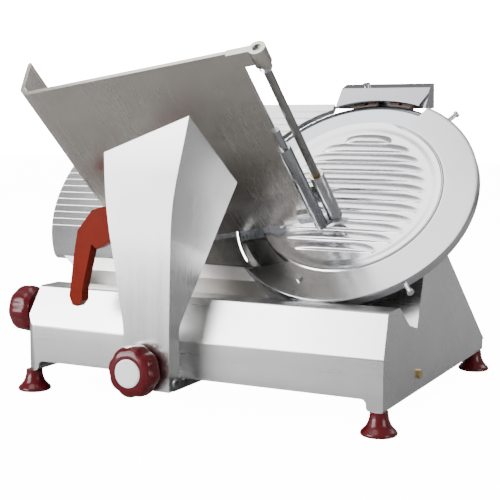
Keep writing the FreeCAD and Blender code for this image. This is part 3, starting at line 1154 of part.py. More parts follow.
base_housing()
bottom_cover()
feet()
bay_rods()
switch_parts()
earth_screw()
control_board()
blade_cover_ring()
ring_screws()
bearing_parts()
motor_parts()
drive_belt()
slice_deflector()
blade_parts()
tie_rod()
gauge_apron()
gauge_plate()
gauge_support()
index_parts()
sharpener_parts()
carriage_foot()
arm_casting = carriage_arm()
product_table()
carriage_handle(arm_casting)
pusher_rod_parts()
pusher_parts()
lock_knob_parts()

# ---------------------------------------------------------------- check and write
doc.recompute()
for thing in doc.Objects:
    if "Invalid" in thing.State or "Error" in thing.State:
        raise RuntimeError("%s failed: %s" % (thing.Label, thing.State))
os.makedirs("parts", exist_ok=True)
for thing in subparts:
    if thing.Shape.isNull() or not thing.Shape.isValid() or not thing.Shape.Solids:
        raise RuntimeError("%s has no valid shape" % thing.Label)
    thing.Shape.exportStep("parts/%s.step" % thing.Label)
print("sub-parts written:", len(subparts))
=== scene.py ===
import json
import math

import bpy
from mathutils import Euler, Matrix, Vector


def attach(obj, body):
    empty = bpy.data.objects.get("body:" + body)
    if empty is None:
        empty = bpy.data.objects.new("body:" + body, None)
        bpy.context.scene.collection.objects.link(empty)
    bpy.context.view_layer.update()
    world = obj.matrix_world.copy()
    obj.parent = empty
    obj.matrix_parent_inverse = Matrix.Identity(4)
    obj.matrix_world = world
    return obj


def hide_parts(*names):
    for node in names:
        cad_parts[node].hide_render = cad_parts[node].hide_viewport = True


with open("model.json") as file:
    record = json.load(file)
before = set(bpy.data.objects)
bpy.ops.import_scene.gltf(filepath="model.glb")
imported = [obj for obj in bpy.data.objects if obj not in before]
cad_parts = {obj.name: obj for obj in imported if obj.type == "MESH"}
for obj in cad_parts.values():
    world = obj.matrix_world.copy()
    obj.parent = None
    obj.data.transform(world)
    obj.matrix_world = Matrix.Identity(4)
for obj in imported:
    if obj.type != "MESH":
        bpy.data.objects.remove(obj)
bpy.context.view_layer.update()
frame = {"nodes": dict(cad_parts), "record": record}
record = frame["record"]
nodes = frame["nodes"]

# ---------------------------------------------------------------- frames of the machine
# The machine frame starts at the base's lower front left corner. The part's origin is
# under the middle of the whole box, so everything is shifted by this much.
SHIFT = Vector((-0.2465, -0.136687, 0.0))
MACHINE = Matrix.Translation(SHIFT)
# The head frame has its origin on the blade's axis and +Z along it, out of the cover.
INCLINE = math.radians(41.3)
HEAD_CENTRE = Vector((0.384, 0.150, 0.256))
HEAD = (Matrix.Translation(SHIFT + HEAD_CENTRE)
        @ Matrix.Rotation(math.pi / 2 - INCLINE, 4, "X"))
# The tray frame lies on the product table's underside: X along it, Y to its far edge.
TRAY_TILT = math.radians(13.0)
TRAY_CORNER = (-0.2768, -0.1051, 0.2928)
TRAY = (HEAD @ Matrix.Translation(TRAY_CORNER)
        @ Matrix.Rotation(TRAY_TILT, 4, "Z") @ Matrix.Rotation(-math.pi / 2, 4, "X"))


# ---------------------------------------------------------------- materials
class Graph:
    """Small helper for building a material's node tree."""

    def __init__(self, name):
        self.material = bpy.data.materials.new(name)
        self.material.use_nodes = True
        self.tree = self.material.node_tree
        self.tree.nodes.clear()
        self.out = self.add("ShaderNodeOutputMaterial")
        self.shader = self.add("ShaderNodeBsdfPrincipled")
        self.link(self.shader, "BSDF", self.out, "Surface")

    def add(self, kind, **values):
        node = self.tree.nodes.new(kind)
        for key, value in values.items():
            if key in node.inputs:
                node.inputs[key].default_value = value
            else:
                setattr(node, key, value)
        return node

    def link(self, a, output, b, socket):
        self.tree.links.new(a.outputs[output], b.inputs[socket])

    def spread(self, source, output, low, high):
        """Stretch a value between 0 and 1 to another range."""
        node = self.add("ShaderNodeMapRange")
        node.inputs["To Min"].default_value = low
        node.inputs["To Max"].default_value = high
        self.link(source, output, node, "Value")
        return node

    def coordinates(self, rotation=(0, 0, 0), scale=(1, 1, 1)):
        """Object coordinates in a turned frame, scaled along its axes."""
        place = self.add("ShaderNodeTexCoord")
        mapping = self.add("ShaderNodeMapping")
        mapping.vector_type = "TEXTURE" if rotation != (0, 0, 0) else "POINT"
        mapping.inputs["Rotation"].default_value = rotation
        self.link(place, "Object", mapping, "Vector")
        stretch = self.add("ShaderNodeVectorMath", operation="MULTIPLY")
        self.link(mapping, "Vector", stretch, 0)
        stretch.inputs[1].default_value = scale
        return stretch

    def noise(self, place, scale, detail=4.0, rough=0.6):
        node = self.add("ShaderNodeTexNoise")
        node.inputs["Scale"].default_value = scale
        node.inputs["Detail"].default_value = detail
        node.inputs["Roughness"].default_value = rough
        self.link(place, 0, node, "Vector")
        return node

    def bump(self, source, output, strength, distance):
        node = self.add("ShaderNodeBump")
        node.inputs["Strength"].default_value = strength
        node.inputs["Distance"].default_value = distance
        self.link(source, output, node, "Height")
        self.link(node, "Normal", self.shader, "Normal")
        return node


# Blender's mix node keeps one set of sockets for each kind of data.
FLOAT_A, FLOAT_B, COLOUR_A, COLOUR_B, COLOUR_OUT = 2, 3, 6, 7, 2


def brushed(name, colour, rough, turn=(0, 0, 0), grain=0.25, axis=0, along=4.0, across=1300.0,
            mottle=0.10):
    """Metal with a grain that runs along one axis of a turned frame."""
    spread, wear = 0.08, 0.06
    g = Graph(name)
    stretch = [across, across, across]
    stretch[axis] = along
    lines = g.noise(g.coordinates(turn, tuple(stretch)), 1.0, 3.0, 0.7)
    broad = [across * 0.05] * 3
    broad[axis] = along * 0.5
    bands = g.noise(g.coordinates(turn, tuple(broad)), 1.0, 2.0, 0.5)
    patches = g.noise(g.coordinates(), 9.0, 5.0, 0.6)
    g.shader.inputs["Metallic"].default_value = 1.0
    mixed = g.add("ShaderNodeMix", data_type="FLOAT", blend_type="MIX")
    mixed.inputs["Factor"].default_value = 0.45
    g.link(lines, "Fac", mixed, FLOAT_A)
    g.link(bands, "Fac", mixed, FLOAT_B)
    colour_map = g.add("ShaderNodeMix", data_type="RGBA", blend_type="MIX")
    low = tuple(c * (1 - grain) for c in colour)
    high = tuple(min(1.0, c * (1 + grain * 0.7)) for c in colour)
    colour_map.inputs[COLOUR_A].default_value = (*low, 1)
    colour_map.inputs[COLOUR_B].default_value = (*high, 1)
    g.link(mixed, 0, colour_map, "Factor")
    clouds = g.noise(g.coordinates(), 14.0, 3.0, 0.55)
    shade = g.spread(clouds, "Fac", 1 - mottle, 1 + mottle)
    tone = g.add("ShaderNodeVectorMath", operation="SCALE")
    g.link(colour_map, COLOUR_OUT, tone, 0)
    g.link(shade, "Result", tone, "Scale")
    g.link(tone, "Vector", g.shader, "Base Color")
    rough_lines = g.spread(mixed, 0, rough - spread, rough + spread)
    worn = g.spread(patches, "Fac", -wear, wear)
    total = g.add("ShaderNodeMath", operation="ADD", use_clamp=True)
    g.link(rough_lines, "Result", total, 0)
    g.link(worn, "Result", total, 1)
    g.link(total, 0, g.shader, "Roughness")
    g.bump(lines, "Fac", 0.10, 0.0002)
    return g.material


def spun(name, colour, rough, matrix, grain=0.15, spread=0.06, painted_shade=None):
    """Metal turned or ground about a frame's Z axis: the grain runs in rings round it.

    The last argument darkens the colour outside a radius, a painted shade: (start, end, factor)."""
    rings_per_metre = 900.0
    g = Graph(name)
    place = g.add("ShaderNodeTexCoord")
    mapping = g.add("ShaderNodeMapping", vector_type="TEXTURE")
    mapping.inputs["Location"].default_value = matrix.to_translation()
    mapping.inputs["Rotation"].default_value = matrix.to_euler()
    g.link(place, "Object", mapping, "Vector")
    flat = g.add("ShaderNodeVectorMath", operation="MULTIPLY")
    flat.inputs[1].default_value = (1, 1, 0)
    g.link(mapping, "Vector", flat, 0)
    radius = g.add("ShaderNodeVectorMath", operation="LENGTH")
    g.link(flat, 0, radius, 0)
    axis = g.add("ShaderNodeSeparateXYZ")
    g.link(mapping, "Vector", axis, "Vector")
    angle = g.add("ShaderNodeMath", operation="ARCTAN2")
    g.link(axis, "Y", angle, 0)
    g.link(axis, "X", angle, 1)
    ring = g.add("ShaderNodeCombineXYZ")
    scaled = g.add("ShaderNodeMath", operation="MULTIPLY")
    scaled.inputs[1].default_value = rings_per_metre
    g.link(radius, "Value", scaled, 0)
    g.link(scaled, 0, ring, "X")
    g.link(angle, 0, ring, "Y")
    lines = g.noise(ring, 1.0, 3.0, 0.7)
    patches = g.noise(g.coordinates(), 8.0, 5.0, 0.6)
    g.shader.inputs["Metallic"].default_value = 1.0
    colour_map = g.add("ShaderNodeMix", data_type="RGBA", blend_type="MIX")
    colour_map.inputs[COLOUR_A].default_value = (*(c * (1 - grain) for c in colour), 1)
    colour_map.inputs[COLOUR_B].default_value = (*(min(1.0, c * (1 + grain)) for c in colour), 1)
    g.link(lines, "Fac", colour_map, "Factor")
    tone = g.add("ShaderNodeVectorMath", operation="SCALE")
    tone.inputs["Scale"].default_value = 1.0
    g.link(colour_map, COLOUR_OUT, tone, 0)
    g.link(tone, "Vector", g.shader, "Base Color")
    # painted shade: the colour is scaled down beyond a given radius
    if painted_shade:
        start, end, factor = painted_shade
        shaded_zone = g.add("ShaderNodeMapRange", interpolation_type="SMOOTHSTEP")
        shaded_zone.inputs["From Min"].default_value = start
        shaded_zone.inputs["From Max"].default_value = end
        shaded_zone.inputs["To Min"].default_value = 1.0
        shaded_zone.inputs["To Max"].default_value = factor
        g.link(radius, "Value", shaded_zone, "Value")
        g.link(shaded_zone, "Result", tone, "Scale")
    rough_lines = g.spread(lines, "Fac", rough - spread, rough + spread)
    worn = g.spread(patches, "Fac", -0.05, 0.05)
    total = g.add("ShaderNodeMath", operation="ADD", use_clamp=True)
    g.link(rough_lines, "Result", total, 0)
    g.link(worn, "Result", total, 1)
    g.link(total, 0, g.shader, "Roughness")
    g.bump(lines, "Fac", 0.1, 0.0003)
    return g.material


def moulded(name, colour, rough=0.22, coat=0.5, speckle=0.0, bump=0.05, shine=0.5):
    """Plastic or rubber with faint unevenness, dust and handling marks."""
    g = Graph(name)
    patches = g.noise(g.coordinates(), 24.0, 6.0, 0.65)
    fine = g.noise(g.coordinates(), 700.0, 2.0, 0.5)
    colour_map = g.add("ShaderNodeMix", data_type="RGBA", blend_type="MIX")
    clean = (c * (0.82 - speckle) for c in colour)
    dusty = (min(1.0, c * (1.15 + speckle) + 0.004) for c in colour)
    colour_map.inputs[COLOUR_A].default_value = (*clean, 1)
    colour_map.inputs[COLOUR_B].default_value = (*dusty, 1)
    g.link(patches, "Fac", colour_map, "Factor")
    g.link(colour_map, COLOUR_OUT, g.shader, "Base Color")
    wear = g.spread(patches, "Fac", rough - 0.07, rough + 0.12)
    g.link(wear, "Result", g.shader, "Roughness")
    g.shader.inputs["Coat Weight"].default_value = coat
    g.shader.inputs["Coat Roughness"].default_value = 0.06
    g.shader.inputs["Specular IOR Level"].default_value = shine
    g.bump(fine, "Fac", bump, 0.0004)
    return g.material


HEAD_TURN = tuple(HEAD.to_euler())
TRAY_TURN = tuple(TRAY.to_euler())
# one finish for each of the record's material slots
SLOTS = {
    "cast_aluminium": brushed("cast_aluminium", (0.60, 0.60, 0.60), 0.29, along=3.0, grain=0.10),
    "polished_aluminium": brushed("polished_aluminium", (0.66, 0.66, 0.66), 0.3, grain=0.12),
    "blade_steel": spun("blade_steel", (0.68, 0.68, 0.69), 0.12, HEAD),
    "brushed_steel": brushed("brushed_steel", (0.52, 0.52, 0.53), 0.32, grain=0.2),
    "steel_bright": brushed("steel_bright", (0.64, 0.64, 0.65), 0.16, along=60.0, grain=0.15),
    "red_plastic": moulded("red_plastic", (0.085, 0.0015, 0.005), 0.2, coat=0.2, shine=0.25),
    "white_plastic": moulded("white_plastic", (0.86, 0.86, 0.86), 0.35, coat=0.2),
    "black_plastic": moulded("black_plastic", (0.018, 0.018, 0.02), 0.4, coat=0.1),
    "green_plastic": moulded("green_plastic", (0.01, 0.22, 0.04), 0.25),
    "red_button": moulded("red_button", (0.5, 0.012, 0.012), 0.25),
    "brass": brushed("brass", (0.62, 0.43, 0.17), 0.25, along=80.0, grain=0.2),
    "rubber_belt": moulded("rubber_belt", (0.02, 0.02, 0.02), 0.6, coat=0.0, bump=0.4),
    "abrasive": moulded("abrasive", (0.22, 0.17, 0.15), 0.8, coat=0.0, speckle=0.3, bump=0.9),
    "circuit_board": moulded("circuit_board", (0.02, 0.12, 0.05), 0.35, speckle=0.2),
    "painted_motor": moulded("painted_motor", (0.03, 0.035, 0.04), 0.45, coat=0.1),
}
# nodes whose grain runs their own way, or whose finish differs from their slot's
SPECIAL = {
    "carriage_handle": moulded("handle_red", (0.15, 0.010, 0.003), 0.42, coat=0.0, shine=0.06),
    "pusher_rod": brushed("rod_knurled", (0.30, 0.29, 0.28), 0.3, turn=TRAY_TURN, along=300.0,
                          across=2500.0, grain=0.5),
    "sharpener_housing": brushed("sharpener_satin", (0.41, 0.41, 0.43), 0.3, turn=HEAD_TURN, along=3.0,
                                 grain=0.08),
    "blade": spun("blade_polished", (0.46, 0.48, 0.50), 0.12, HEAD, grain=0.08),
    "gauge_plate": brushed("gauge_satin", (0.64, 0.64, 0.65), 0.24, along=3.0, grain=0.10),
    "gauge_apron": brushed("apron_satin", (0.86, 0.84, 0.81), 0.40, along=2.0, grain=0.08),
    "product_table": brushed("table_brushed", (0.53, 0.50, 0.46), 0.26, turn=TRAY_TURN, axis=1,
                             along=3.0, grain=0.10, mottle=0.2),
    "carriage_arm": brushed("arm_brushed", (0.66, 0.66, 0.655), 0.25, axis=2, along=4.0, grain=0.12),
    # the guard ring beyond the dish's edge is painted darker than the dish of the same casting:
    # painted shade
    "blade_cover_ring": spun("cover_polished_ring_shaded", (0.72, 0.72, 0.745), 0.22, HEAD, grain=0.07,
                             spread=0.04, painted_shade=(0.1145, 0.119, 0.69)),
    "rod_end_bracket": brushed("tube_brushed", (0.38, 0.39, 0.40), 0.25, turn=TRAY_TURN, axis=1,
                               along=8.0),
    "pusher_sleeve": brushed("sleeve_brushed", (0.6, 0.6, 0.6), 0.22, turn=TRAY_TURN, axis=1,
                             along=8.0),
}

slot_of = {entry["node"]: entry["material_slot"] for entry in record["subparts"]}
# edge radius of the nodes that stay visible, in metres
BEVEL = {
    "base_housing": 0.0022, "product_table": 0.0015, "carriage_handle": 0.003,
    "gauge_plate": 0.0005, "sharpener_housing": 0.0012, "rod_end_bracket": 0.0008,
    "pusher_sleeve": 0.0008,
}
for name, obj in nodes.items():
    obj.data.materials.clear()
    obj.data.materials.append(SPECIAL.get(name, SLOTS[slot_of[name]]))
    if name in BEVEL:
        weld = obj.modifiers.new("weld", "WELD")
        weld.merge_threshold = 0.00001
        bevel = obj.modifiers.new("edges", "BEVEL")
        bevel.width = BEVEL[name]
        bevel.segments = 3
        bevel.limit_method = "ANGLE"
        bevel.angle_limit = math.radians(20)
        bevel.harden_normals = True


# ---------------------------------------------------------------- shaped pieces
def mesh_piece(name, points, faces, body, material, slot, *replaced, crease=40):
    """A smooth-shaded piece that moves with a body and stands in for CAD nodes."""
    mesh = bpy.data.meshes.new(name)
    mesh.from_pydata(points, [], faces)
    mesh.validate()
    mesh.shade_smooth()
    mesh.set_sharp_from_angle(angle=math.radians(crease))
    mesh.materials.append(material)
    obj = bpy.data.objects.new(name, mesh)
    bpy.context.collection.objects.link(obj)
    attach(obj, body)
    if replaced:
        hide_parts(*replaced)
    return obj


def smooth_path(points, steps):
    """Points of a Catmull-Rom curve through a list of tuples."""
    out = []
    last = len(points) - 1
    for i in range(last):
        p0, p1, p2, p3 = points[max(i - 1, 0)], points[i], points[i + 1], points[min(i + 2, last)]
        for k in range(steps):
            t = k / steps
            out.append(tuple(0.5 * (2 * b + (c - a) * t + (2 * a - 5 * b + 4 * c - d) * t * t
                                    + (3 * b - a - 3 * c + d) * t ** 3)
                             for a, b, c, d in zip(p0, p1, p2, p3)))
    out.append(points[-1])
    return out


def rings(matrix, profile, segments, radius_at=None):
    """Points and faces of a closed turned shape; radius_at may shape each ring."""
    points, faces = [], []
    for r, z in profile:
        for k in range(segments):
            a = 2 * math.pi * k / segments
            here = radius_at(r, z, a) if radius_at else r
            points.append(matrix @ Vector((here * math.cos(a), here * math.sin(a), z)))
    for i in range(len(profile) - 1):
        low, high = i * segments, (i + 1) * segments
        for k in range(segments):
            n = (k + 1) % segments
            faces.append((low + k, low + n, high + n, high + k))
    faces.append(tuple(reversed(range(segments))))
    faces.append(tuple((len(profile) - 1) * segments + k for k in range(segments)))
    return points, faces


def repeated(matrices, profile, segments):
    """The same turned shape at several places, as points and faces of one mesh."""
    points, faces = [], []
    for matrix in matrices:
        more, quads = rings(matrix, profile, segments)
        start = len(points)
        points += more
        faces += [tuple(start + v for v in face) for face in quads]
    return points, faces


def star_knob(name, matrix, radius, length, lobes, phase, body, replaced, waist=0.72):
    """A moulded phenolic knob: rounded lobes with soft valleys that fade out at both ends."""
    valley_depth = 0.075 * radius
    outline = smooth_path([
        (waist * radius, 0.0), (0.93 * radius, 0.10 * length), (1.0 * radius, 0.26 * length),
        (1.0 * radius, 0.56 * length), (0.96 * radius, 0.78 * length), (0.86 * radius, 0.92 * length),
        (0.70 * radius, 0.985 * length), (0.60 * radius, length),
    ], 5)

    def shaped(r, z, a):
        t = z / length
        depth = valley_depth * math.sin(math.pi * min(max(t, 0), 1)) ** 0.7
        valley = (0.5 - 0.5 * math.cos(lobes * (a + phase))) ** 1.6
        return r - depth * valley

    points, faces = rings(matrix, outline, 144, shaped)
    return mesh_piece(name, points, faces, body, SLOTS["red_plastic"], "red_plastic", replaced,
                      crease=50)


LOBES = 8
lock_seat = MACHINE @ Matrix.Translation((0.2045, -0.050, 0.0575))
towards_front = lock_seat @ Matrix.Rotation(math.pi / 2, 4, "X")
star_knob("lock_star_knob", towards_front, 0.031, 0.026, LOBES, 0.2, "lock", "lock_knob")
index_seat = MACHINE @ Matrix.Translation((-0.004, 0.037, 0.0996))
towards_left = index_seat @ Matrix.Rotation(-math.pi / 2, 4, "Y")
star_knob("index_star_knob", towards_left, 0.0305, 0.034, LOBES, 0.1, "index", "index_knob",
          waist=0.86)


def bell_feet():
    """Four bell-shaped feet with a rolled edge and a narrow neck."""
    profile = smooth_path([
        (0.0175, 0.0), (0.0198, 0.0006), (0.0209, 0.0022), (0.0205, 0.0045), (0.0180, 0.0072),
        (0.0150, 0.0105), (0.0127, 0.0148), (0.0112, 0.0195), (0.0105, 0.0240), (0.0104, 0.0270),
    ], 4)
    places = [MACHINE @ Matrix.Translation((x, y, 0)) for x in (0.007, 0.478) for y in (0.008, 0.385)]
    points, faces = repeated(places, profile, 64)
    mesh_piece("bell_feet", points, faces, "base", SLOTS["red_plastic"], "red_plastic", "feet")


bell_feet()


# ---- ribbed blade cover in one piece with the guard ring, in millimetres in the head frame
# The guard ring is cut off along two lines, each given by an inner and an outer point.
NOTCH = (Vector((47.9, 109.3)), Vector((78.0, 161.3)))
TAIL = (Vector((-49.6, -104.7)), Vector((-121.3, -126.7)))
DISH_DEPTH, FLOOR_RADIUS, COVE_WIDTH = 2.4, 97.0, 14.0
RIB_COUNT, RIB_TOP, RIB_PITCH, RIB_HALF_WIDTH = 12, 90.5, 15.3, 7.6
RIB_HEIGHT, RIB_REACH = 2.7, 96.0
RIBBED_RADIUS, COVER_RADIUS = 97.6, 116.0


def rise(t):
    """A smooth step from 0 to 1."""
    t = min(max(t, 0.0), 1.0)
    return t * t * (3 - 2 * t)


def sector_angle(r, line):
    """Angle at which the guard ring is cut off, at a given radius."""
    near, far = line
    if r <= near.length:
        return math.atan2(near.y, near.x)
    low, high = 0.0, 1.0
    for _ in range(30):
        middle = (low + high) / 2
        if near.lerp(far, middle).length < r:
            low = middle
        else:
            high = middle
    p = near.lerp(far, low)
    return math.atan2(p.y, p.x)


def dish_height(r):
    """A flat floor that rises in a smooth cove to the rim."""
    return DISH_DEPTH * (rise((r - FLOOR_RADIUS) / COVE_WIDTH) - 1)


def cover_height(x, u):
    """Height of the dish with its pressed ribs, which fade out and narrow towards their ends."""
    height = dish_height(math.hypot(x, u))
    crest = 0.2
    for k in range(RIB_COUNT):
        middle = RIB_TOP - RIB_PITCH * k
        half = math.sqrt(max(RIB_REACH ** 2 - middle ** 2, 1.0))
        along = abs(x) / half
        v = (u - middle) / RIB_HALF_WIDTH
        if along >= 1 or abs(v) >= 1:
            continue
        ends = (1 - along ** 4) ** 1.3
        wide = 0.3 + 0.7 * ends ** 0.6
        p = (v + 1) / 2 / wide
        if p > 1:
            continue
        swell = rise(p / crest) if p < crest else math.cos((p - crest) / (1 - crest) * math.pi / 2)
        height += RIB_HEIGHT * ends * swell
    return height


def blade_cover():
    points, faces = [], []

    def patch(rows, closed=False):
        start = len(points)
        width = len(rows[0])
        for row in rows:
            points.extend(HEAD @ (Vector(p) / 1000) for p in row)
        for i in range(len(rows) - 1):
            for k in range(width if closed else width - 1):
                n = (k + 1) % width
                a = start + i * width
                faces.append((a + k, a + n, a + width + n, a + width + k))

    # the ribbed floor, as rows across the dish
    down, across = 390, 96
    rows = []
    for i in range(down + 1):
        u = RIBBED_RADIUS * (2 * i / down - 1)
        span = math.sqrt(max(RIBBED_RADIUS ** 2 - u * u, 0.01))
        places = [span * (2 * k / across - 1) for k in range(across + 1)]
        rows.append([(x, u, cover_height(x, u)) for x in places])
    patch(rows)

    # the cove and rim round it, then the cover's back down to the tie rod's socket
    turns = 360
    rows = []
    for r in (96.5, RIBBED_RADIUS, 99, 101, 103, 105, 107, 109, 110.5, 112, 113.2, 113.8, 114.4,
              115, 115.6, COVER_RADIUS):
        row = []
        for k in range(turns):
            a = 2 * math.pi * k / turns
            open_side = rise((a - math.radians(66)) / 0.25) * rise((math.radians(246) - a) / 0.25)
            bead = 0.9 * math.exp(-((r - 114.2) / 1.2) ** 2) * (1 - open_side)
            low = -0.06 if r < FLOOR_RADIUS else 0.0
            row.append((r * math.cos(a), r * math.sin(a), dish_height(r) + bead + low))
        rows.append(row)
    for r, w in ((COVER_RADIUS, -3.0), (12.0, -3.0), (12.0, -7.0), (4.05, -7.0), (4.05, -3.2)):
        turn = [2 * math.pi * k / turns for k in range(turns)]
        rows.append([(r * math.cos(a), r * math.sin(a), w) for a in turn])
    patch(rows, closed=True)

    # the guard ring: one section swept from the notch to the tail, shallower near the base
    section = [(115.9, -0.02), (118, 0.0), (126, 0.0), (135, 0.0), (145, 0.0), (152, 0.0),
               (155.2, 0.0), (156.2, -0.15), (156.8, -0.6), (157.0, -1.3), (157.0, -4.0),
               (157.0, -12.0), (154.2, -12.0), (154.0, -3.0), (140, -3.0), (125, -3.0),
               (115.9, -3.0), (115.9, -0.02)]
    steps = 260
    low_clear, shallow = -152.6, -4.3
    rows = []
    for r, w in section:
        start, end = sector_angle(r, NOTCH), sector_angle(r, TAIL)
        row = []
        for k in range(steps + 1):
            a = start + (end - start) * k / steps
            depth = max(w, shallow) if r * math.sin(a) < low_clear else w
            row.append((r * math.cos(a), r * math.sin(a), depth))
        rows.append(row)
    patch(rows)
    width = steps + 1
    first = len(points) - len(rows) * width
    faces.append(tuple(first + i * width for i in range(len(rows) - 1)))
    faces.append(tuple(reversed([first + i * width + steps for i in range(len(rows) - 1)])))
    mesh_piece("ribbed_blade_cover", points, faces, "base", SPECIAL["blade_cover_ring"],
               "polished_aluminium", "blade_cover_ring", crease=28)


blade_cover()


def softened(path, reaches, steps=8):
    """A polyline whose inner corners are eased by curves that reach a little way along it."""
    out = [path[0]]
    for i in range(1, len(path) - 1):
        back = (path[i - 1] - path[i]).normalized() * reaches[i - 1]
        ahead = (path[i + 1] - path[i]).normalized() * reaches[i - 1]
        start, end = path[i] + back, path[i] + ahead
        for k in range(steps + 1):
            t = k / steps
            out.append(start * (1 - t) ** 2 + path[i] * 2 * t * (1 - t) + end * t * t)
    out.append(path[-1])
    return out


def arm_casting():
    """Hollow faceted post from the slider up to the product table, open at its foot and behind."""
    left, right, front, back = 0.181, 0.243, -0.048, -0.025
    foot, window, bend, waist_height = 0.033, 0.095, 0.106, 0.247
    wall, waist_depth, slope = 0.005, 0.070, math.radians(27.3)
    square = [(left, front), (right, front), (right, back), (left, back)]
    waist_back = (front + waist_depth * math.cos(slope), waist_height - waist_depth * math.sin(slope))
    waist = [(0.158, front, waist_height), (0.2465, front, waist_height), (0.2717, *waist_back),
             (0.166, *waist_back)]
    seat = [(0.053, 0.108), (0.173, 0.076), (0.185, 0.196), (0.055, 0.212)]
    bend_reach, waist_reach = 0.006, 0.036
    edges = []
    for (x, y), middle, (t, f) in zip(square, waist, seat):
        path = [MACHINE @ Vector((x, y, window)), MACHINE @ Vector((x, y, bend)),
                MACHINE @ Vector(middle), TRAY @ Vector((t, f, 0))]
        edges.append(softened(path, (bend_reach, waist_reach)))
    points = [MACHINE @ Vector((x, y, foot)) for x, y in square]
    rows = [[0, 1, 2, 3]]
    for level in zip(*edges):
        rows.append([len(points) + k for k in range(4)])
        points += level
    sill = len(points)
    for z in (foot, window):
        points += [MACHINE @ Vector((x, back, z)) for x in (right - wall, left + wall)]
    faces = []
    for low, high in zip(rows, rows[1:]):
        for k in range(4):
            n = (k + 1) % 4
            behind = k == 2
            if not behind or low not in rows[:2]:
                faces.append((low[k], low[n], high[n], high[k]))
    first, second, third = rows[0], rows[1], rows[2]
    faces.append((first[2], sill, sill + 2, second[2]))
    faces.append((sill + 1, first[3], second[3], sill + 3))
    faces.append((second[2], sill + 2, sill + 3, second[3], third[3], third[2]))
    faces.append(tuple(rows[-1]))
    piece = mesh_piece("arm_casting", points, faces, "arm", SPECIAL["carriage_arm"],
                       "polished_aluminium", "carriage_arm", crease=30)
    shell = piece.modifiers.new("wall", "SOLIDIFY")
    shell.thickness = wall
    shell.offset = -1
    shell.use_even_offset = True
    edge = piece.modifiers.new("edges", "BEVEL")
    edge.width = 0.003
    edge.segments = 4
    edge.limit_method = "ANGLE"
    edge.angle_limit = math.radians(35)
    edge.harden_normals = True


arm_casting()


def pin_heads():
    """Low domed heads that close the ends of the arm's pivot pin."""
    dome = smooth_path([(0.0052, 0.0), (0.0050, 0.0006), (0.0038, 0.0012), (0.0012, 0.0015)], 3)
    places = [MACHINE @ Matrix.Translation((x, -0.035, 0.042)) @ Matrix.Rotation(turn, 4, "Y")
              for x, turn in ((0.243, math.pi / 2), (0.181, -math.pi / 2))]
    points, faces = repeated(places, dome, 32)
    mesh_piece("pivot_pin_heads", points, faces, "arm", SLOTS["steel_bright"], "steel_bright")


pin_heads()


def folded_apron():
    """Two-faced strip that hangs below the gauge plate and tucks in under it."""
    left_top, left_foot, ring_clear = -0.375, -0.340, 0.159
    top, low = -0.1172, -0.1410
    section = [(top, -0.0010), (-0.1295, -0.0118), (low, -0.0328), (-0.1380, -0.0336),
               (-0.1265, -0.0135), (top, -0.0058)]
    columns = 24
    points, faces = [], []
    for u, w in section:
        drop = (top - u) / (top - low)
        left = left_top + (left_foot - left_top) * drop
        right = -math.sqrt(ring_clear ** 2 - u * u)
        for k in range(columns + 1):
            points.append(HEAD @ Vector((left + (right - left) * k / columns, u, w)))
    rows, width = len(section), columns + 1
    for i in range(rows):
        j = (i + 1) % rows
        for k in range(columns):
            a, b = i * width + k, j * width + k
            faces.append((a, b, b + 1, a + 1))
    faces.append(tuple(reversed([i * width for i in range(rows)])))
    faces.append(tuple(i * width + columns for i in range(rows)))
    mesh_piece("folded_apron", points, faces, "gauge", SPECIAL["gauge_apron"], "polished_aluminium",
               "gauge_apron", crease=15)


folded_apron()


def painted_gap_shade_ring():
    """Thin black ring between the cover's edge and the turning blade: painted shade standing in for
    the dark gap there.
    """
    inner, outer, high, low = 0.1158, 0.1172, -0.0031, -0.0041
    section = [(inner, high), (outer, high), (outer, low), (inner, low)]
    turns = 240
    points, faces = [], []
    for k in range(turns):
        a = 2 * math.pi * k / turns
        points += [HEAD @ Vector((r * math.cos(a), r * math.sin(a), w)) for r, w in section]
    for k in range(turns):
        n = (k + 1) % turns
        for i in range(4):
            j = (i + 1) % 4
            faces.append((4 * k + i, 4 * n + i, 4 * n + j, 4 * k + j))
    # black ring as painted shade in the gap under the cover's edge
    mesh_piece("painted_gap_shade_ring", points, faces, "base", SLOTS["black_plastic"], "black_plastic")


painted_gap_shade_ring()


# ---------------------------------------------------------------- studio
HALF_FLOOR = 9.0
PAPER_GLOW = 14.0
BACKDROP_GLOW = 22.0
WORLD_STRENGTH = 0.9

floor_mesh = bpy.data.meshes.new("floor")
floor_corners = [(HALF_FLOOR * x, HALF_FLOOR * y, 0) for x, y in ((-1, -1), (1, -1), (1, 1), (-1, 1))]
floor_mesh.from_pydata(floor_corners, [], [(0, 1, 2, 3)])
floor = bpy.data.objects.new("floor", floor_mesh)
bpy.context.collection.objects.link(floor)

# the camera sees bright paper, but the metal reflects a greyer one that is painted paler further in
# front, a painted pool of light
paper = Graph("paper")
paper.shader.inputs["Roughness"].default_value = 0.9
glow = paper.add("ShaderNodeLightPath")
paper.link(glow, "Is Camera Ray", paper.shader, "Emission Strength")
paper.shader.inputs["Emission Color"].default_value = (PAPER_GLOW, PAPER_GLOW, PAPER_GLOW, 1)
spot = paper.add("ShaderNodeTexCoord")
split = paper.add("ShaderNodeSeparateXYZ")
paper.link(spot, "Object", split, "Vector")
# painted light: the floor's colour rises from 0.34 near the machine to 0.8 further in front
front = paper.add("ShaderNodeMapRange", interpolation_type="SMOOTHSTEP")
for socket, number in (("From Min", -1.3), ("From Max", -2.6), ("To Min", 0.34), ("To Max", 0.8)):
    front.inputs[socket].default_value = number
paper.link(split, "Y", front, "Value")
shade = paper.add("ShaderNodeMix", data_type="FLOAT")
shade.inputs[FLOAT_B].default_value = 0.9
paper.link(glow, "Is Camera Ray", shade, "Factor")
paper.link(front, "Result", shade, FLOAT_A)
paper.link(shade, 0, paper.shader, "Base Color")
floor.data.materials.append(paper.material)

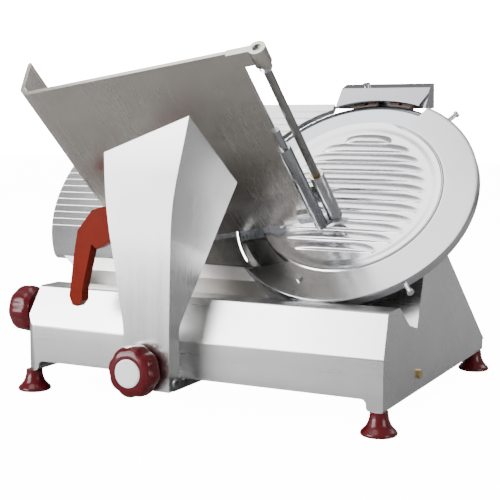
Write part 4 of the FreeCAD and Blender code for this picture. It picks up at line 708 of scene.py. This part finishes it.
# a soft grey room that gets paler overhead, with a white backdrop for the camera
world = bpy.data.worlds.new("studio")
bpy.context.scene.world = world
world.use_nodes = True
tree = world.node_tree
tree.nodes.clear()
output = tree.nodes.new("ShaderNodeOutputWorld")
coordinate = tree.nodes.new("ShaderNodeTexCoord")
separate = tree.nodes.new("ShaderNodeSeparateXYZ")
tree.links.new(coordinate.outputs["Generated"], separate.inputs[0])
height = tree.nodes.new("ShaderNodeValToRGB")
stops = [(0.0, 0.25), (0.46, 0.4), (0.54, 0.5), (0.7, 0.35), (0.85, 0.4), (1.0, 0.55)]
while len(height.color_ramp.elements) < len(stops):
    height.color_ramp.elements.new(0.5)
for element, (place, value) in zip(height.color_ramp.elements, stops):
    element.position = place
    element.color = (value, value, value * 1.02, 1)
shift = tree.nodes.new("ShaderNodeMapRange")
shift.inputs["From Min"].default_value = -1
tree.links.new(separate.outputs["Z"], shift.inputs["Value"])
tree.links.new(shift.outputs["Result"], height.inputs["Fac"])
lit = tree.nodes.new("ShaderNodeBackground")
lit.inputs["Strength"].default_value = WORLD_STRENGTH
tree.links.new(height.outputs["Color"], lit.inputs["Color"])
seen = tree.nodes.new("ShaderNodeBackground")
seen.inputs["Color"].default_value = (1, 1, 1, 1)
seen.inputs["Strength"].default_value = BACKDROP_GLOW
path = tree.nodes.new("ShaderNodeLightPath")
choose = tree.nodes.new("ShaderNodeMixShader")
tree.links.new(path.outputs["Is Camera Ray"], choose.inputs[0])
tree.links.new(lit.outputs[0], choose.inputs[1])
tree.links.new(seen.outputs[0], choose.inputs[2])
tree.links.new(choose.outputs[0], output.inputs["Surface"])


def area(name, place, target, width, depth, power):
    """A rectangular lamp aimed at a point, in watts."""
    data = bpy.data.lights.new(name, "AREA")
    data.shape = "RECTANGLE"
    data.size = width
    data.size_y = depth
    data.energy = power
    lamp = bpy.data.objects.new(name, data)
    lamp.location = place
    aim = Vector(target) - Vector(place)
    lamp.rotation_euler = aim.to_track_quat("-Z", "Y").to_euler()
    bpy.context.collection.objects.link(lamp)


area("key", (-1.6, -2.4, 1.15), (0, 0, 0.25), 2.0, 1.9, 125)
area("fill", (2.8, -0.8, 1.0), (0, 0, 0.25), 1.2, 1.2, 32)
area("back", (0.9, 1.5, 1.5), (0.9, 1.0, 0), 1.2, 1.2, 22)
area("low", (-0.80, -1.28, 0.27), (-0.05, -0.2, 0.28), 0.9, 0.34, 6)
area("top", (-0.7, -0.5, 2.4), (0, 0, 0.2), 2.2, 1.1, 26)

CAMERA_PLACE = Vector((0.8963, -1.1302, 0.3387))
LOOK_DOWN, ROLL, LOOK_LEFT = math.radians(6.332), math.radians(-0.1), math.radians(26.932)
camera_data = bpy.data.cameras.new("camera")
camera_data.lens = 80.6
camera_data.sensor_width = 36.0
camera = bpy.data.objects.new("camera", camera_data)
camera.location = SHIFT + CAMERA_PLACE
camera.rotation_euler = Euler((math.pi / 2 - LOOK_DOWN, ROLL, LOOK_LEFT))
bpy.context.collection.objects.link(camera)
bpy.context.scene.camera = camera
